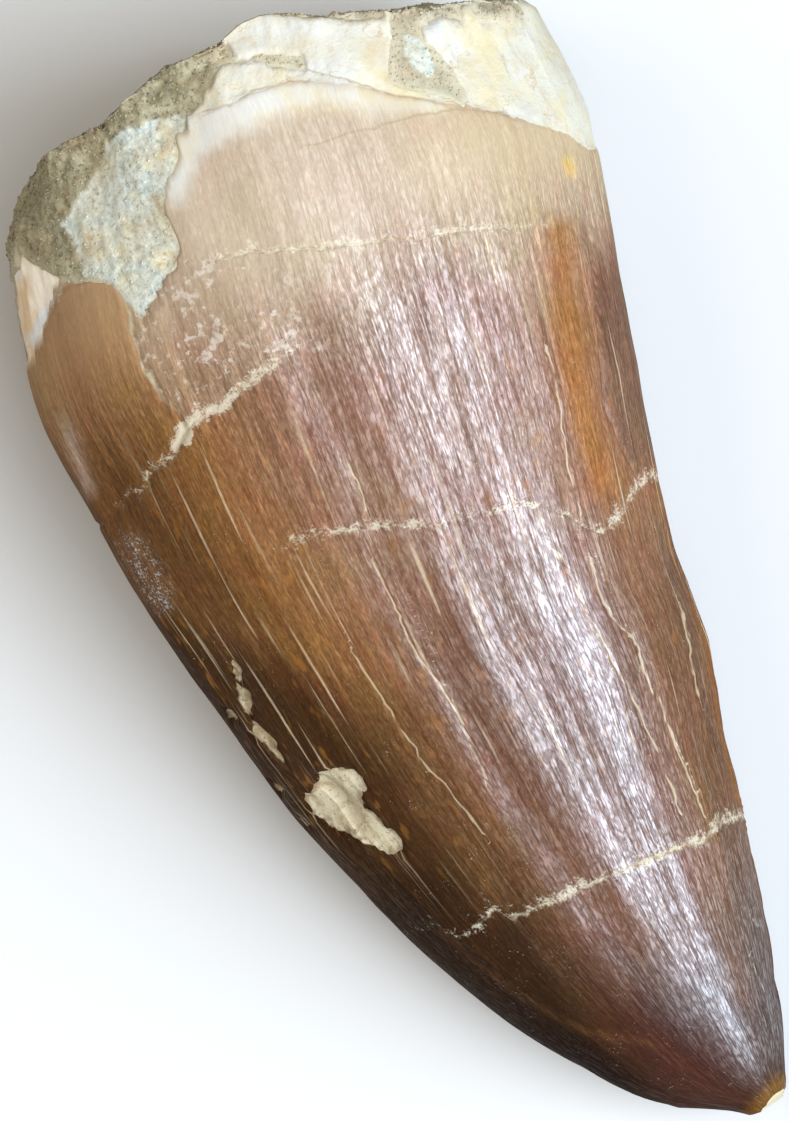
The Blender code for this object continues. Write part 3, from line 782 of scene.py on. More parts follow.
def mark_surface(grid):
    """Works out how far each point lies inside every patch and from every line."""
    seen, points = grid["seen"], grid["points"]
    rough = ripple(points * 2.2, 11, 2)[..., None] * 0.1
    ragged = seen + np.concatenate([rough, np.roll(rough, 7, axis=1)], -1)
    torn = ragged + ripple(points * 1.3, 12, 3)[..., None] * (0.12, -0.12)
    jagged = ragged + ripple(points * 2.8, 14, 3)[..., None] * (0.22, -0.16)
    on_crown = np.arange(len(points))[:, None] < grid["end_start"]
    faces_up = spread(grid["upward"], (4, 4))
    # Patches and lines end in a ragged edge where the surface turns away from above.
    above = np.where(on_crown, 6.0 * (faces_up + 0.06) + 3.0 * rough[..., 0], -9.0)

    def patch(*outlines, place=ragged):
        inside = functools.reduce(np.maximum, [outline_distance(place, outline) for outline in outlines])
        return np.minimum(inside, above)

    def lines(some, across=None):
        """Distance from lines; its sign changes at each line, along X or away from the tip."""
        away = functools.reduce(np.minimum, [line_distance(ragged, line) for line in some])
        away = np.maximum(away, -above)
        if across is None:
            return away
        passed = 0
        for line in some:
            knots = np.array(sorted(line, key=lambda knot: knot[1 - across]))
            crossing = np.interp(ragged[..., 1 - across], knots[:, 1 - across], knots[:, across])
            passed = passed + (ragged[..., across] > crossing)
        return away * (1 - 2 * (passed % 2))

    grid["matrix"] = matrix_distance(grid, patch(*MATRIX_OUTLINES, place=torn))
    grid["chip"] = np.maximum(patch(ROUND_CHIP, place=jagged), patch(LONG_CHIP, LOWER_CHIP, *EDGE_CHIPS))
    grid["bare"] = np.maximum(grid["chip"], grid["facet"])
    grid["hairline"] = lines(HAIRLINES, 0)
    grid["seam"] = lines(BROWN_SEAMS, 1)
    grid["tip_mark"] = lines(TIP_MARKS) + 0.05
    grid["open"] = eased(-0.1, 0.25, faces_up)
    for name, outlines in PATCHES.items():
        grid[name] = patch(*outlines)
    for name, some in LINES.items():
        grid[name] = lines(some)
    cracks, powder = [], []
    for name, (shows, width, dust) in CRACK_SHOWS.items():
        share = np.interp(seen[..., 0], *np.array(shows).T)
        below = eased(0.02, -0.6, grid["upward"])
        share = share * (1 - below) + below * eased(-0.6, 0.8, ripple(points * 0.35, 15, 2))
        share = share * (1 - inside_of(grid["matrix"], 0.3)) * on_crown
        cracks.append(np.abs(grid[name]) / width + 0.6 * (1 - share))
        powder.append(share * dust * near(grid[name], np.where(grid[name] > 0, *POWDER_REACH)))
    grid["crack"] = functools.reduce(np.minimum, cracks)
    grid["powder"] = functools.reduce(np.maximum, [*powder, 1.6 * inside_of(patch(CRACK_BLOB), 0.15)])


def matrix_distance(grid, drawn):
    """How far each point lies inside the matrix: as drawn on top, and as in the solids elsewhere."""
    tooth, matrix = merged_tree(("tooth",)), merged_tree(("matrix",))
    solid = np.full(drawn.shape, -FAR)
    for index in zip(*np.nonzero(grid["along"] > MATRIX_START)):
        place = Vector(grid["points"][index]) + Vector((0.0, grid["trimmed"][index], 0.0))
        solid[index] = tooth.find_nearest(place)[3] - matrix.find_nearest(place)[3]
    solid = spread(solid, (1.5, 2.5))
    before_end = np.arange(len(drawn))[:, None] < grid["end_start"] - 1
    on_top = eased(0.25, 0.5, grid["upward"]) * before_end
    return drawn * on_top + solid * (1 - on_top)


def inside_of(distance, run):
    """1 well inside a patch, 0 outside, over a short run."""
    return eased(-run, run, distance)


def wrinkled(strand, girth):
    """Height of a net of wrinkles, which keeps about the same spacing as the crown tapers."""
    wrinkles = np.zeros(girth.shape)
    for level in range(5):
        count = 26.0 * 2.0**level
        weight = np.clip(1 - np.abs(np.log2(np.maximum(girth, 0.001) / count / 0.55)), 0, 1)
        sway = 0.2 * ripple(strand * (6.0, 6.0, 0.5), 21 + level)[..., None]
        place = strand * (count / ROUND, count / ROUND, 0.42) + sway
        wrinkles += weight * (0.55 - np.abs(ripple(place, 31 + level)) * 1.6)
    return wrinkles


def shape_surface(grid, crown):
    """Moves the surface out and in for wrinkles, cracks, chips, the enamel's edge and the bone."""
    points, along, around = grid["points"], grid["along"], grid["around"]
    root, chip = inside_of(grid["root"], 0.25), inside_of(grid["chip"], 0.06)
    fragment, lobe = inside_of(grid["fragment"], 0.12), grid["lobe"]
    enamel = (1 - root) * (1 - chip) * (1 - fragment) * (1 - inside_of(grid["facet"], 0.05))
    left = eased(0.0, -2.5, grid["seen"][..., 0]) * (grid["upward"] > 0)
    between = np.minimum(grid["crack_frost"], -grid["crack_upper"])
    frost = left * inside_of(between, 0.5) * (1 - inside_of(lobe, 0.1))
    smooth = (1 - 0.6 * eased(41.0, 44.0, along)) * (1 - 0.6 * inside_of(lobe, 0.3))
    relief = crown.wrinkle_depth / MM * wrinkled(grid["strand"], grid["girth"]) * enamel * smooth
    relief += 0.045 * ripple(points * (0.7, 0.28, 0.7), 41, 2) * enamel
    relief += 0.025 * ripple(points * 2.8, 43, 2) * frost
    relief -= crown.crack_depth / MM * near(grid["crack"], 0.13) * enamel
    for name, (shows, *_) in CRACK_SHOWS.items():
        ledge = 0.015 * np.exp(-np.abs(grid[name]) / 1.2) * np.tanh(grid[name] / 0.05)
        relief += ledge * enamel * np.interp(grid["seen"][..., 0], *np.array(shows).T)
    relief -= (0.1 * near(lobe, 0.14) + 0.02 * near(grid["hairline"], 0.06)) * enamel
    relief -= 0.025 * near(grid["seam"], 0.07)
    relief -= chip * (crown.chip_depth / MM + 0.07 * ripple(points * 2.6, 47, 2))
    relief -= fragment * (0.22 + 0.1 * ripple(points * (1.5, 0.8, 1.5), 49, 2))
    step = crown.enamel_depth / MM * np.exp(-np.maximum(grid["root"], 0) / 0.9)
    relief -= root * (step + 0.07 * ripple(points * (1.3, 0.9, 1.3), 51, 3))
    from_leading = np.abs(around - EQUAL_SIDES)
    edges = np.minimum(np.minimum(around, 1 - around), from_leading) * grid["girth"]
    keen = eased(1.5, 4.0, along) * (1 - eased(34.0, 43.0, along))
    teeth = 1.0 + 0.35 * np.sin(2 * np.pi * along / 0.33 + 3 * ripple(points, 53))
    folded = eased(25.5, 28.0, along) * eased(41.0, 37.0, along) * (from_leading > 0.3)
    relief += (0.06 * keen * teeth * (1 - folded) - 0.13 * folded) * np.exp(-((edges / 0.3) ** 1.3))
    grid["fold"] = edges + 9.0 * (1 - folded)
    grid["frost"], grid["bare_relief"] = frost, relief
    under_matrix = eased(0.0, 0.3, grid["matrix"])
    shaped = points + grid["normal"] * (relief * (1 - under_matrix) - 0.35 * under_matrix)[..., None]
    shaped[..., 2] = np.maximum(shaped[..., 2], 0.0)
    grid["shaped"] = shaped


def grid_mesh(name, points, faces, attributes):
    """Object from tooth millimetres, shaded smooth, with its named point values."""
    mesh = bpy.data.meshes.new(name)
    placed = (points - (MIDDLE_X, -TIP_Y, 0.0)) * MM
    used, faces = np.unique(faces, return_inverse=True)
    mesh.from_pydata(placed[used].tolist(), [], faces.reshape(-1, 4).tolist())
    kinds = {1: ("FLOAT", "value"), 3: ("FLOAT_VECTOR", "vector"), 4: ("FLOAT_COLOR", "color")}
    for key, values in attributes.items():
        kind, field = kinds[values[0].size]
        layer = mesh.attributes.new(key, kind, "POINT")
        layer.data.foreach_set(field, values[used].astype(np.float32).ravel())
    tidy = bmesh.new()
    tidy.from_mesh(mesh)
    bmesh.ops.remove_doubles(tidy, verts=tidy.verts, dist=MERGE)
    bmesh.ops.dissolve_degenerate(tidy, edges=tidy.edges, dist=MERGE)
    tidy.to_mesh(mesh)
    tidy.free()
    mesh.shade_smooth()
    made = bpy.data.objects.new(name, mesh)
    bpy.context.scene.collection.objects.link(made)
    return made


def quads(rows, columns):
    """Corners of the grid's cells for ranges of rows and columns, which may wrap round."""
    row, column = np.meshgrid(rows, columns, indexing="ij")
    left, right = column % CELLS, (column + 1) % CELLS
    low, high = row * CELLS, (row + 1) * CELLS
    return np.stack([low + left, low + right, high + right, high + left], -1).reshape(-1, 4)


def flat(values):
    return values.reshape(-1, *values.shape[2:])


def tinted(grid, crown):
    """The surface's colour without its fine streaks and sharp markings, with painted shade on its left side.
    """
    points, seen = grid["points"], grid["seen"]
    x = np.where(grid["upward"] > 0, seen[..., 0], points[..., 0])
    along = grid["along"] + 1.6 * ripple(points * (0.25, 0.12, 0.25), 61, 3)
    side = (x - 1.0) / (3.0 + 0.26 * np.clip(along, 0, 42))
    # Painted shade: umber laid over the left side, which is turned from the lights, most near the tip; partly
    # the enamel's own dark colour.
    far_left = eased(-0.6, -1.0, side)
    shaded = eased(0.0, 1.0, (-0.35 - 0.37 * eased(19.0, 30.0, along) - side) / 0.6)
    dark = [
        eased(-0.2, -0.9, side) * eased(23.0, 10.0, along),
        0.9 * shaded * eased(38.0, 27.0, along),
        far_left * eased(24.0, 15.0, along),
        0.5 * far_left * eased(44.0, 34.0, along),
    ]
    past_fold = (grid["around"] > 0.8) * eased(26.0, 29.0, seen[..., 1]) * eased(38.5, 35.0, seen[..., 1])
    tan_start = eased(37.5, 42.5, along + 0.3 * x.clip(-9, 9))
    colour = painted(
        crown.rose,
        (crown.chestnut, eased(32.0, 20.0, along)),
        (crown.amber, eased(-0.3, -0.8, side) * eased(46.0, 40.0, along)),
        (crown.amber, eased(0.45, 0.9, side) * eased(33.0, 27.0, along) * 0.5),
        (crown.plum, eased(12.0, 4.0, along) * 0.85),
        (crown.umber, functools.reduce(np.maximum, dark) * 0.9),
        (crown.tan, tan_start * 0.85 * (1 - 0.35 * grid["frost"])),
        (WARM_TAN, eased(3.0, 9.0, x) * eased(38.0, 42.0, along) * 0.75),
        (LOBE_BROWN, inside_of(grid["lobe"], 0.3) * eased(36.0, 42.0, along) * 0.85),
        (crown.tan, grid["frost"] * 0.45),
        (crown.orange, 0.8 * near(grid["stripe"], 0.9)),
        (crown.umber, 0.4 * eased(0.6, 0.95, side) * eased(30.0, 22.0, along)),
        (crown.orange, 0.35 * near(grid["amber_rim"], 0.35)),
        (np.add(crown.plum, PAST_FOLD), 0.8 * past_fold),
        (crown.chestnut, 0.5 * inside_of(grid["red"], 0.4)),
        (crown.white, 0.45 * near(grid["grey"], 0.3)),
        (crown.amber, 0.15 * near(grid["tip_ridge"], 0.15)),
        (FACET_RIM, 0.85 * near(grid["facet"] + 0.2, 0.3)),
    )
    mottle = 0.5 + 0.5 * ripple(points * 0.9, 63, 3)
    whitened = np.clip(mottle * 0.6 + inside_of(grid["bone_white"], 0.3), 0, 1)
    stained = 0.5 * inside_of(grid["stain"], 0.5) + 0.14 * eased(0.5, 1.1, mottle)
    bone = painted(crown.bone, (crown.white, whitened), (crown.orange, stained))
    streaked = 0.5 * eased(-0.1, 0.5, ripple(points * (1.2, 0.7, 1.2), 65, 2))
    streaked = np.maximum(streaked, 0.8 * near(grid["fragment_stain"], 0.25))
    shards = painted(SHARD, (SHARD_BROWN, streaked), (SHARD_BLUE, 0.9 * near(grid["fragment_streak"], 0.2)))
    colour = painted(
        colour,
        (bone, inside_of(grid["root"], 0.1)),
        (shards, inside_of(grid["fragment"], 0.1)),
        (GOLD, 0.8 * near(grid["gold"], 0.22)),
    )
    return np.concatenate([colour, np.ones((*along.shape, 1))], -1)


class Value:
    """A socket that takes part in expressions: each operation adds its Math node."""

    def __init__(self, tree, socket):
        self.tree = tree
        self.socket = socket

    def math(self, operation, *others):
        values = {0: self, **dict(enumerate(others, 1))}
        return self.tree.node("ShaderNodeMath", {"operation": operation}, values)

    def __add__(self, other):
        return self.math("ADD", other)

    __radd__ = __add__

    def __sub__(self, other):
        return self.math("SUBTRACT", other)

    def __rsub__(self, other):
        return self.tree.node("ShaderNodeMath", {"operation": "SUBTRACT"}, {0: other, 1: self})

    def __mul__(self, other):
        return self.math("MULTIPLY", other)

    __rmul__ = __mul__

    def __truediv__(self, other):
        return self.math("DIVIDE", other)

    def __abs__(self):
        return self.math("ABSOLUTE")

    def above(self, low, high):
        """0 at low, 1 at high, smooth between. Low may be the greater."""
        values = {"Value": self, "From Min": low, "From Max": high}
        return self.tree.node("ShaderNodeMapRange", {"interpolation_type": "SMOOTHSTEP"}, values)


class Shader:
    """Node tree of one material."""

    def __init__(self, name):
        self.material = bpy.data.materials.new(name)
        self.material.use_nodes = True
        self.tree = self.material.node_tree
        self.main = self.tree.nodes["Principled BSDF"]

    def node(self, kind, settings, values, output=0):
        """Adds a node, sets it up, feeds its sockets and returns one of its outputs."""
        made = self.tree.nodes.new(kind)
        for key, value in settings.items():
            setattr(made, key, value)
        for key, value in values.items():
            self.feed(made.inputs[key], value)
        return Value(self, made.outputs[output])

    def feed(self, socket, value):
        if isinstance(value, Value):
            self.tree.links.new(value.socket, socket)
        elif socket.type == "RGBA" and not isinstance(value, float):
            socket.default_value = (*value[:3], 1.0)
        else:
            socket.default_value = value

    def place(self):
        return self.node("ShaderNodeTexCoord", {}, {}, "Object")

    def named(self, name, output="Fac"):
        return self.node("ShaderNodeAttribute", {"attribute_name": name}, {}, output)

    def noise(self, place, scale, detail=2.0, roughness=0.5, distortion=0.0):
        values = {"Vector": place, "Scale": scale, "Detail": detail, "Roughness": roughness}
        values["Distortion"] = distortion
        return self.node("ShaderNodeTexNoise", {}, values)

    def streaks(self, strand, across, along, detail=2.0, roughness=0.6, distortion=0.0):
        """Noise drawn out along the crown: its lumps to a unit across it, and to a millimetre along it."""
        scales = {0: strand, 1: (across, across, along)}
        place = self.node("ShaderNodeVectorMath", {"operation": "MULTIPLY"}, scales)
        return self.noise(place, 1.0, detail, roughness, distortion)

    def mix(self, share, first, second, blend="MIX"):
        values = {0: share, 6: first, 7: second}
        return self.node("ShaderNodeMix", {"data_type": "RGBA", "blend_type": blend}, values, 2)

    def painted(self, colour, *layers):
        """A colour with layers of other colours over it, each with its share."""
        for layer, share in layers:
            colour = self.mix(share, colour, layer)
        return colour

    def tinged(self, colour, *layers):
        """A colour multiplied by one factor after another, each for its share of the surface."""
        for factor, share in layers:
            colour = self.mix(share, colour, self.mix(1.0, colour, factor, "MULTIPLY"))
        return colour

    def bump(self, height, distance):
        return self.node("ShaderNodeBump", {}, {"Height": height, "Distance": distance})

    def finish(self, **values):
        for key, value in values.items():
            self.feed(self.main.inputs[key.replace("_", " ").title().replace("Ior", "IOR")], value)
        return self.material


def wrinkle_net(s, strand, girth, spacing):
    """Crests and swells of a fine net of wrinkles, which keeps its spacing as the crown tapers."""
    crests, swell = 0.0, 0.0
    for level in range(4):
        count = 64.0 * 2.0**level
        octave = (girth / (count * 0.8 * spacing / MM)).math("LOGARITHM", 2.0)
        weight = (1.0 - abs(octave)).math("MAXIMUM", 0.0)
        net = s.streaks(strand, count / ROUND, 1.4, distortion=0.2)
        crests = weight * abs(net - 0.5) + crests
        swell = weight * net + swell
    return crests, swell


def chip_floor(s, crown, along, coarse, grain, fine):
    """Chalky, pocked dentine with painted shade along its rim, and plain at the tip."""
    past_tip = along.above(2.0, 4.0)
    # Painted shade along the rim of the chip, where its floor drops below the enamel.
    shaded_rim = s.named("bare").above(0.3, 0.0) * grain.above(0.35, 0.6) * past_tip
    return s.painted(
        s.mix(coarse.above(0.4, 0.6), crown.cream, crown.bone),
        ((0.24, 0.17, 0.09), grain.above(0.52, 0.66) * past_tip * 0.5),
        ((0.27, 0.2, 0.12), coarse.above(0.5, 0.62) * past_tip * 0.5),
        ((0.12, 0.08, 0.045), fine.above(0.6, 0.7) * past_tip * 0.7),
        ((0.15, 0.1, 0.06), shaded_rim * 0.75),
    )


def enamel_material(name, crown, shine, dullness):
    """Streaked and wrinkled enamel with its cracks, chips, worn band and the bone past its edge."""
    s = Shader(name)
    place = s.place()
    strand, girth, tint = s.named("strand", "Vector"), s.named("girth"), s.named("tint", "Color")
    along, frost, powder = s.named("along"), s.named("frost"), s.named("powder")
    coarse = s.noise(place, 700.0, 3.0, 0.6)
    grain = s.noise(place, 2600.0, 3.0, 0.6)
    fine = s.noise(place, 9000.0, 2.0, 0.6)
    wander = (grain - 0.5) * 0.16
    bare = (s.named("bare") + wander * 0.6).above(-0.02, 0.02)
    root = (s.named("root") + wander).above(-0.04, 0.04)
    fragment = (s.named("fragment") + wander).above(-0.05, 0.05)
    worn = (s.named("worn") + (s.noise(place, 260.0, 4.0, 0.6) - 0.5) * 2.5).above(-0.9, 0.4)
    enamel = (1.0 - bare) * (1.0 - root) * (1.0 - fragment)

    # Wrinkles, streaks and cells of the enamel, with painted shade in the wrinkles' valleys. They are fainter
    # where it is tan.
    crests, swell = wrinkle_net(s, strand, girth, crown.wrinkle_spacing)
    folds = (crests * 4.0).math("MINIMUM", 1.0)
    crests = crests.above(0.01, 0.16)
    broad = s.streaks(strand, 10.0, 0.09, 3.0)
    strokes = s.streaks(strand, 34.0, 0.12, distortion=0.15)
    shaded_valleys = 1.0 - abs(strokes - 0.5).above(0.0, 0.06)
    grit = s.streaks(strand, 90.0, 3.5)
    hue = s.noise(place, 420.0, 3.0, 0.6)
    calm = enamel * (1.0 - 0.7 * along.above(38.0, 43.0))
    colour = s.tinged(
        tint,
        # Painted shade: darker where the wrinkle net dips, and along the valley lines of the strokes.
        ((0.50, 0.40, 0.34), calm * (1.0 - folds * 0.6 - crests * 0.4) * 0.75),
        ((0.6, 0.45, 0.36), calm * broad.above(0.5, 0.7) * 0.5),
        ((1.5, 1.45, 1.35), calm * strokes.above(0.54, 0.7) * 0.5),
        ((0.5, 0.42, 0.36), calm * shaded_valleys * 0.4),
        ((1.5, 1.45, 1.45), calm * grit.above(0.5, 0.68) * 0.4),
        ((0.55, 0.5, 0.48), calm * grit.above(0.5, 0.32) * 0.35),
        ((1.15, 0.9, 0.95), calm * hue.above(0.5, 0.66) * 0.4),
        ((0.95, 1.05, 0.75), calm * hue.above(0.5, 0.34) * 0.4),
    )

    # Freckles and pale threads in the middle of the crown, painted shade along the fold, and the worn band.
    middle = along.above(40.0, 32.0) * along.above(12.0, 21.0)
    freckles = s.streaks(strand, 22.0, 0.9, 1.0, 0.5).above(0.6, 0.74)
    threads = s.streaks(strand, 42.0, 0.13, 1.5, 0.55).above(0.61, 0.74)
    stained = s.noise(place, 330.0, 4.0, 0.6)
    straw = s.mix(stained.above(0.42, 0.64), crown.white, STRAW)
    colour = s.painted(
        colour,
        (crown.orange, calm * freckles * middle * 0.35),
        (THREAD, calm * threads * middle * s.named("open") * (0.25 + 0.55 * grit)),
        # Painted shade: umber along the folded trailing edge, where the surface dips.
        (crown.umber, calm * (1.0 - s.named("fold").above(0.0, 0.35)) * 0.6),
        (straw, worn * (1.0 - root) * 0.8),
    )

    # Cracks with their filling and powder, hairlines, specks and frost.
    filling = s.mix(grain.above(0.35, 0.65), DIRTY_FILLING, crown.cream)
    crack = s.named("crack") + (s.noise(place, 3400.0, 3.0, 0.65) - 0.5) * 0.22
    crack = 1.0 - crack.above(0.0, 0.2)
    speckled = (grain - 0.5) * 1.8 + (fine - 0.5) * 1.6 + (coarse - 0.5) * 1.2
    dust = powder.above(0.0, 0.25) * (powder + speckled).above(0.35, 0.95)
    hairlines = 1.0 - abs(s.named("hairline")).above(0.015, 0.065)
    rim = 1.0 - abs(s.named("lobe") + wander * 1.5).above(0.03, 0.14)
    marks = 1.0 - (s.named("tip_mark") + wander).above(0.03, 0.12)
    flecks = (coarse * 0.45 + grain * 0.55).above(0.53, 0.62)
    colour = s.painted(
        colour,
        (DUST, enamel * dust * 0.6),
        (filling, enamel * rim * along.above(37.5, 40.0) * 0.75),
        (HAIRLINE, enamel * hairlines * coarse.above(0.3, 0.5) * 0.55),
        (filling, enamel * crack * (0.2 + 0.8 * grain)),
        (crown.white, enamel * marks * grain.above(0.4, 0.55) * 0.6),
        (FROST, flecks * frost * 0.6),
        (SPECK, fine.above(0.66, 0.72) * enamel * coarse.above(0.5, 0.65) * 0.5),
    )

    # The bone, the chips, the white speckle and the brown seams.
    veins = 1.0 - abs(stained - 0.5).above(0.0, 0.012)
    bony = s.painted(
        s.mix(0.5, colour, straw),
        ((0.34, 0.25, 0.13), (coarse * 0.5 + grain * 0.5).above(0.5, 0.62) * 0.3),
        ((0.25, 0.17, 0.09), veins * coarse.above(0.45, 0.6) * 0.45),
    )
    speckle = 1.0 - s.named("speckle").above(0.2, 1.0)
    seam = 1.0 - (abs(s.named("seam")) + wander * 0.5).above(0.01, 0.09)
    colour = s.painted(
        colour,
        (bony, root),
        (chip_floor(s, crown, along, coarse, grain, fine), bare),
        (GREY_SPECKLE, speckle * (0.06 + (grain * 0.4 + fine * 0.6).above(0.52, 0.6)) * 0.5),
        (SEAM_BROWN, seam * 0.5),
    )

    # The relief and the gloss.
    rest = 1.0 - enamel
    height = calm * (folds * 0.7 + swell * 0.6 + grit * 0.3) + grain * (0.3 + 2.5 * rest + 1.5 * frost)
    height = height + fine * (0.1 + 0.6 * rest) - crack * 1.5
    rough = 0.26 + 0.1 * grain + 0.3 * (1.0 - crests) + 0.45 * rest + 0.25 * crack + 0.15 * frost
    rough = rough + 0.2 * dust + 0.12 * along.above(38.0, 44.0) + dullness
    coat = s.named("gloss") * enamel * (0.3 + 0.7 * crests) * (0.6 + 1.1 * grit)
    return s.finish(
        base_color=colour,
        roughness=rough,
        normal=s.bump(height, 0.00002),
        specular_ior_level=shine,
        coat_weight=coat * (1.0 - 0.7 * shaded_valleys) * (1.0 - crack),
        coat_roughness=0.4,
        coat_ior=2.2,
    )


def matrix_material(name, matrix, grains):
    """Olive sand with pale clay, ochre flecks and pits, paler along its rim."""
    s = Shader(name)
    place = s.place()
    pale = (s.named("pale") + (s.noise(place, 1200.0, 3.0, 0.6) - 0.5) * 0.8).above(-0.1, 0.15)
    coarse = s.noise(place, 900.0, 3.0, 0.6)
    grain = s.noise(place, 4200.0, 3.0, 0.7)
    colour = s.tinged(matrix.sand, ((1.5, 1.5, 1.6), coarse.above(0.4, 0.65)))
    drift = s.noise(place, 330.0, 3.0, 0.6)
    chalk = s.mix(drift.above(0.4, 0.6), GREEN_CLAY, YELLOW_CLAY)
    colour = s.mix(pale, colour, s.mix((coarse * 0.6 + grain * 0.4).above(0.4, 0.6), chalk, matrix.pale))
    colour = s.tinged(
        colour,
        ((1.5, 1.45, 1.3), grain.above(0.5, 0.68) * 0.5),
        ((0.55, 0.52, 0.45), grain.above(0.5, 0.34) * 0.5),
    )
    colour = s.mix(s.noise(place, 500.0, 2.0, 0.5).above(0.56, 0.7) * 0.45, colour, matrix.ochre)
    colour = s.tinged(colour, ((0.3, 0.27, 0.22), grain.above(0.42, 0.25) * (0.6 - 0.35 * pale)))
    earthy = (s.noise(place, 650.0, 3.0, 0.6) - 0.5).above(0.0, 0.12) * (1.0 - pale)
    colour = s.mix(earthy * 0.4, colour, EARTH)
    if grains:
        tone = s.named("tone")
        dim = s.tinged(colour, ((0.72, 0.68, 0.6), 1.0 - 0.7 * pale))
        colour = s.mix(tone.above(0.0, 1.0), dim, s.mix(0.25, colour, PALE_GRAIN))
        colour = s.mix(tone.above(0.05, 0.025) * (0.8 - 0.5 * pale), colour, matrix.speck)
    faded = s.named("faded")
    rim = (s.named("shown") + (coarse - 0.5) * 1.6).above(0.5 + 0.4 * faded, 0.0) * (1.0 - pale)
    colour = s.painted(
        colour,
        (FADED_SAND, faded * coarse.above(0.35, 0.6) * 0.6 * (1.0 - pale)),
        (RIM_SAND, rim * 0.6),
    )
    normal = s.bump(coarse * 0.5 + grain, 0.00005)
    return s.finish(base_color=colour, roughness=0.88, normal=normal, specular_ior_level=0.3)


def dress(made, material, slot, *nodes):
    """Gives a finished piece its material and its place in the frame."""
    made.data.materials.clear()
    made.data.materials.append(material)
    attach(made, "root")
    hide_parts(*nodes)


class FOSSIL_OT_add_crown(bpy.types.Operator):
    """Build the crown's two faces and the broken end, with wrinkles, cracks, chips and bone"""

    bl_idname = "fossil.add_crown"
    bl_label = "Add Crown"

    def execute(self, context):
        grid = surface()
        crown = context.scene.fossil_crown
        attributes = {key: flat(grid[key]) for key in ENAMEL_VALUES}
        attributes["tint"] = flat(tinted(grid, crown))
        rim = grid["end_start"] - 1
        glossy = enamel_material("striated_enamel", crown, 0.05, 0.05)
        dull = enamel_material("dull_enamel", crown, 0.03, 0.2)
        pieces = (
            ("crown_upper_face", quads(range(rim), range(UPPER_CELLS)), glossy),
            ("crown_under_face", quads(range(rim), range(UPPER_CELLS, CELLS)), dull),
            ("broken_end", quads(range(rim, len(grid["points"]) - 1), range(CELLS)), dull),
        )
        for name, faces, material in pieces:
            made = grid_mesh(name, flat(grid["shaped"]), faces[:, ::-1], attributes)
            dress(made, material, "enamel", "tooth")
        return {"FINISHED"}


def shell_faces(sheet, count):
    """Faces of a closed shell: the sheet, the same sheet turned over on a second set of points, and walls."""
    edges = np.concatenate([sheet[:, [i, (i + 1) % 4]] for i in range(4)])
    codes = edges[:, 0].astype(np.int64) * count + edges[:, 1]
    twins = edges[:, 1].astype(np.int64) * count + edges[:, 0]
    rim = edges[~np.isin(codes, twins)]
    walls = np.stack([rim[:, 1], rim[:, 0], rim[:, 0] + count, rim[:, 1] + count], -1)
    return np.concatenate([sheet, sheet[:, ::-1] + count, walls])[:, ::-1]


class FOSSIL_OT_add_matrix(bpy.types.Operator):
    """Build the lumpy matrix on the shoulder, the lobe, the crust and the broken end"""

    bl_idname = "fossil.add_matrix"
    bl_label = "Add Matrix"

    def execute(self, context):
        grid = surface()
        matrix = context.scene.fossil_matrix
        inside, points, pale = grid["matrix"], grid["points"], grid["pale"]
        lumps = matrix.lump_height / MM * (1 - 0.5 * inside_of(pale, 0.3))
        lumps = lumps * (ripple(points * 0.9, 71, 2) + 0.6 * ripple(points * 3.0, 73, 2))
        full = eased(0.0, 0.5, inside) * lumps - 0.04 * inside_of(pale, 0.2)
        full -= 0.2 * eased(47.0, 49.5, points[..., 1])
        skirt = np.minimum(grid["bare_relief"], 0.0) - 0.12
        rise = skirt + (full - skirt) * eased(-0.2, 0.15, inside)
        top = points + grid["normal"] * rise[..., None]
        bottom = points - grid["normal"] * (matrix.thickness / MM)
        cells = quads(range(CAP_ROWS, len(points) - 1), range(CELLS))
        sheet = cells[(flat(inside)[cells] > -0.3).all(axis=1)]
        faded = eased(-2.0, 3.0, grid["seen"][..., 0]) * eased(43.0, 45.0, grid["seen"][..., 1])
        faded = faded * eased(0.1, 0.4, grid["upward"])
        hidden = np.full(inside.size, -1.0)
        attributes = {
            "pale": np.tile(flat(pale), 2),
            "shown": np.concatenate([flat(inside), hidden]),
            "faded": np.tile(flat(faded), 2),
        }
        both = np.concatenate([flat(top), flat(bottom)])
        made = grid_mesh("matrix_crust", both, shell_faces(sheet, inside.size), attributes)
        dress(made, matrix_material("sandy_matrix", matrix, False), "sediment", "matrix")
        return {"FINISHED"}


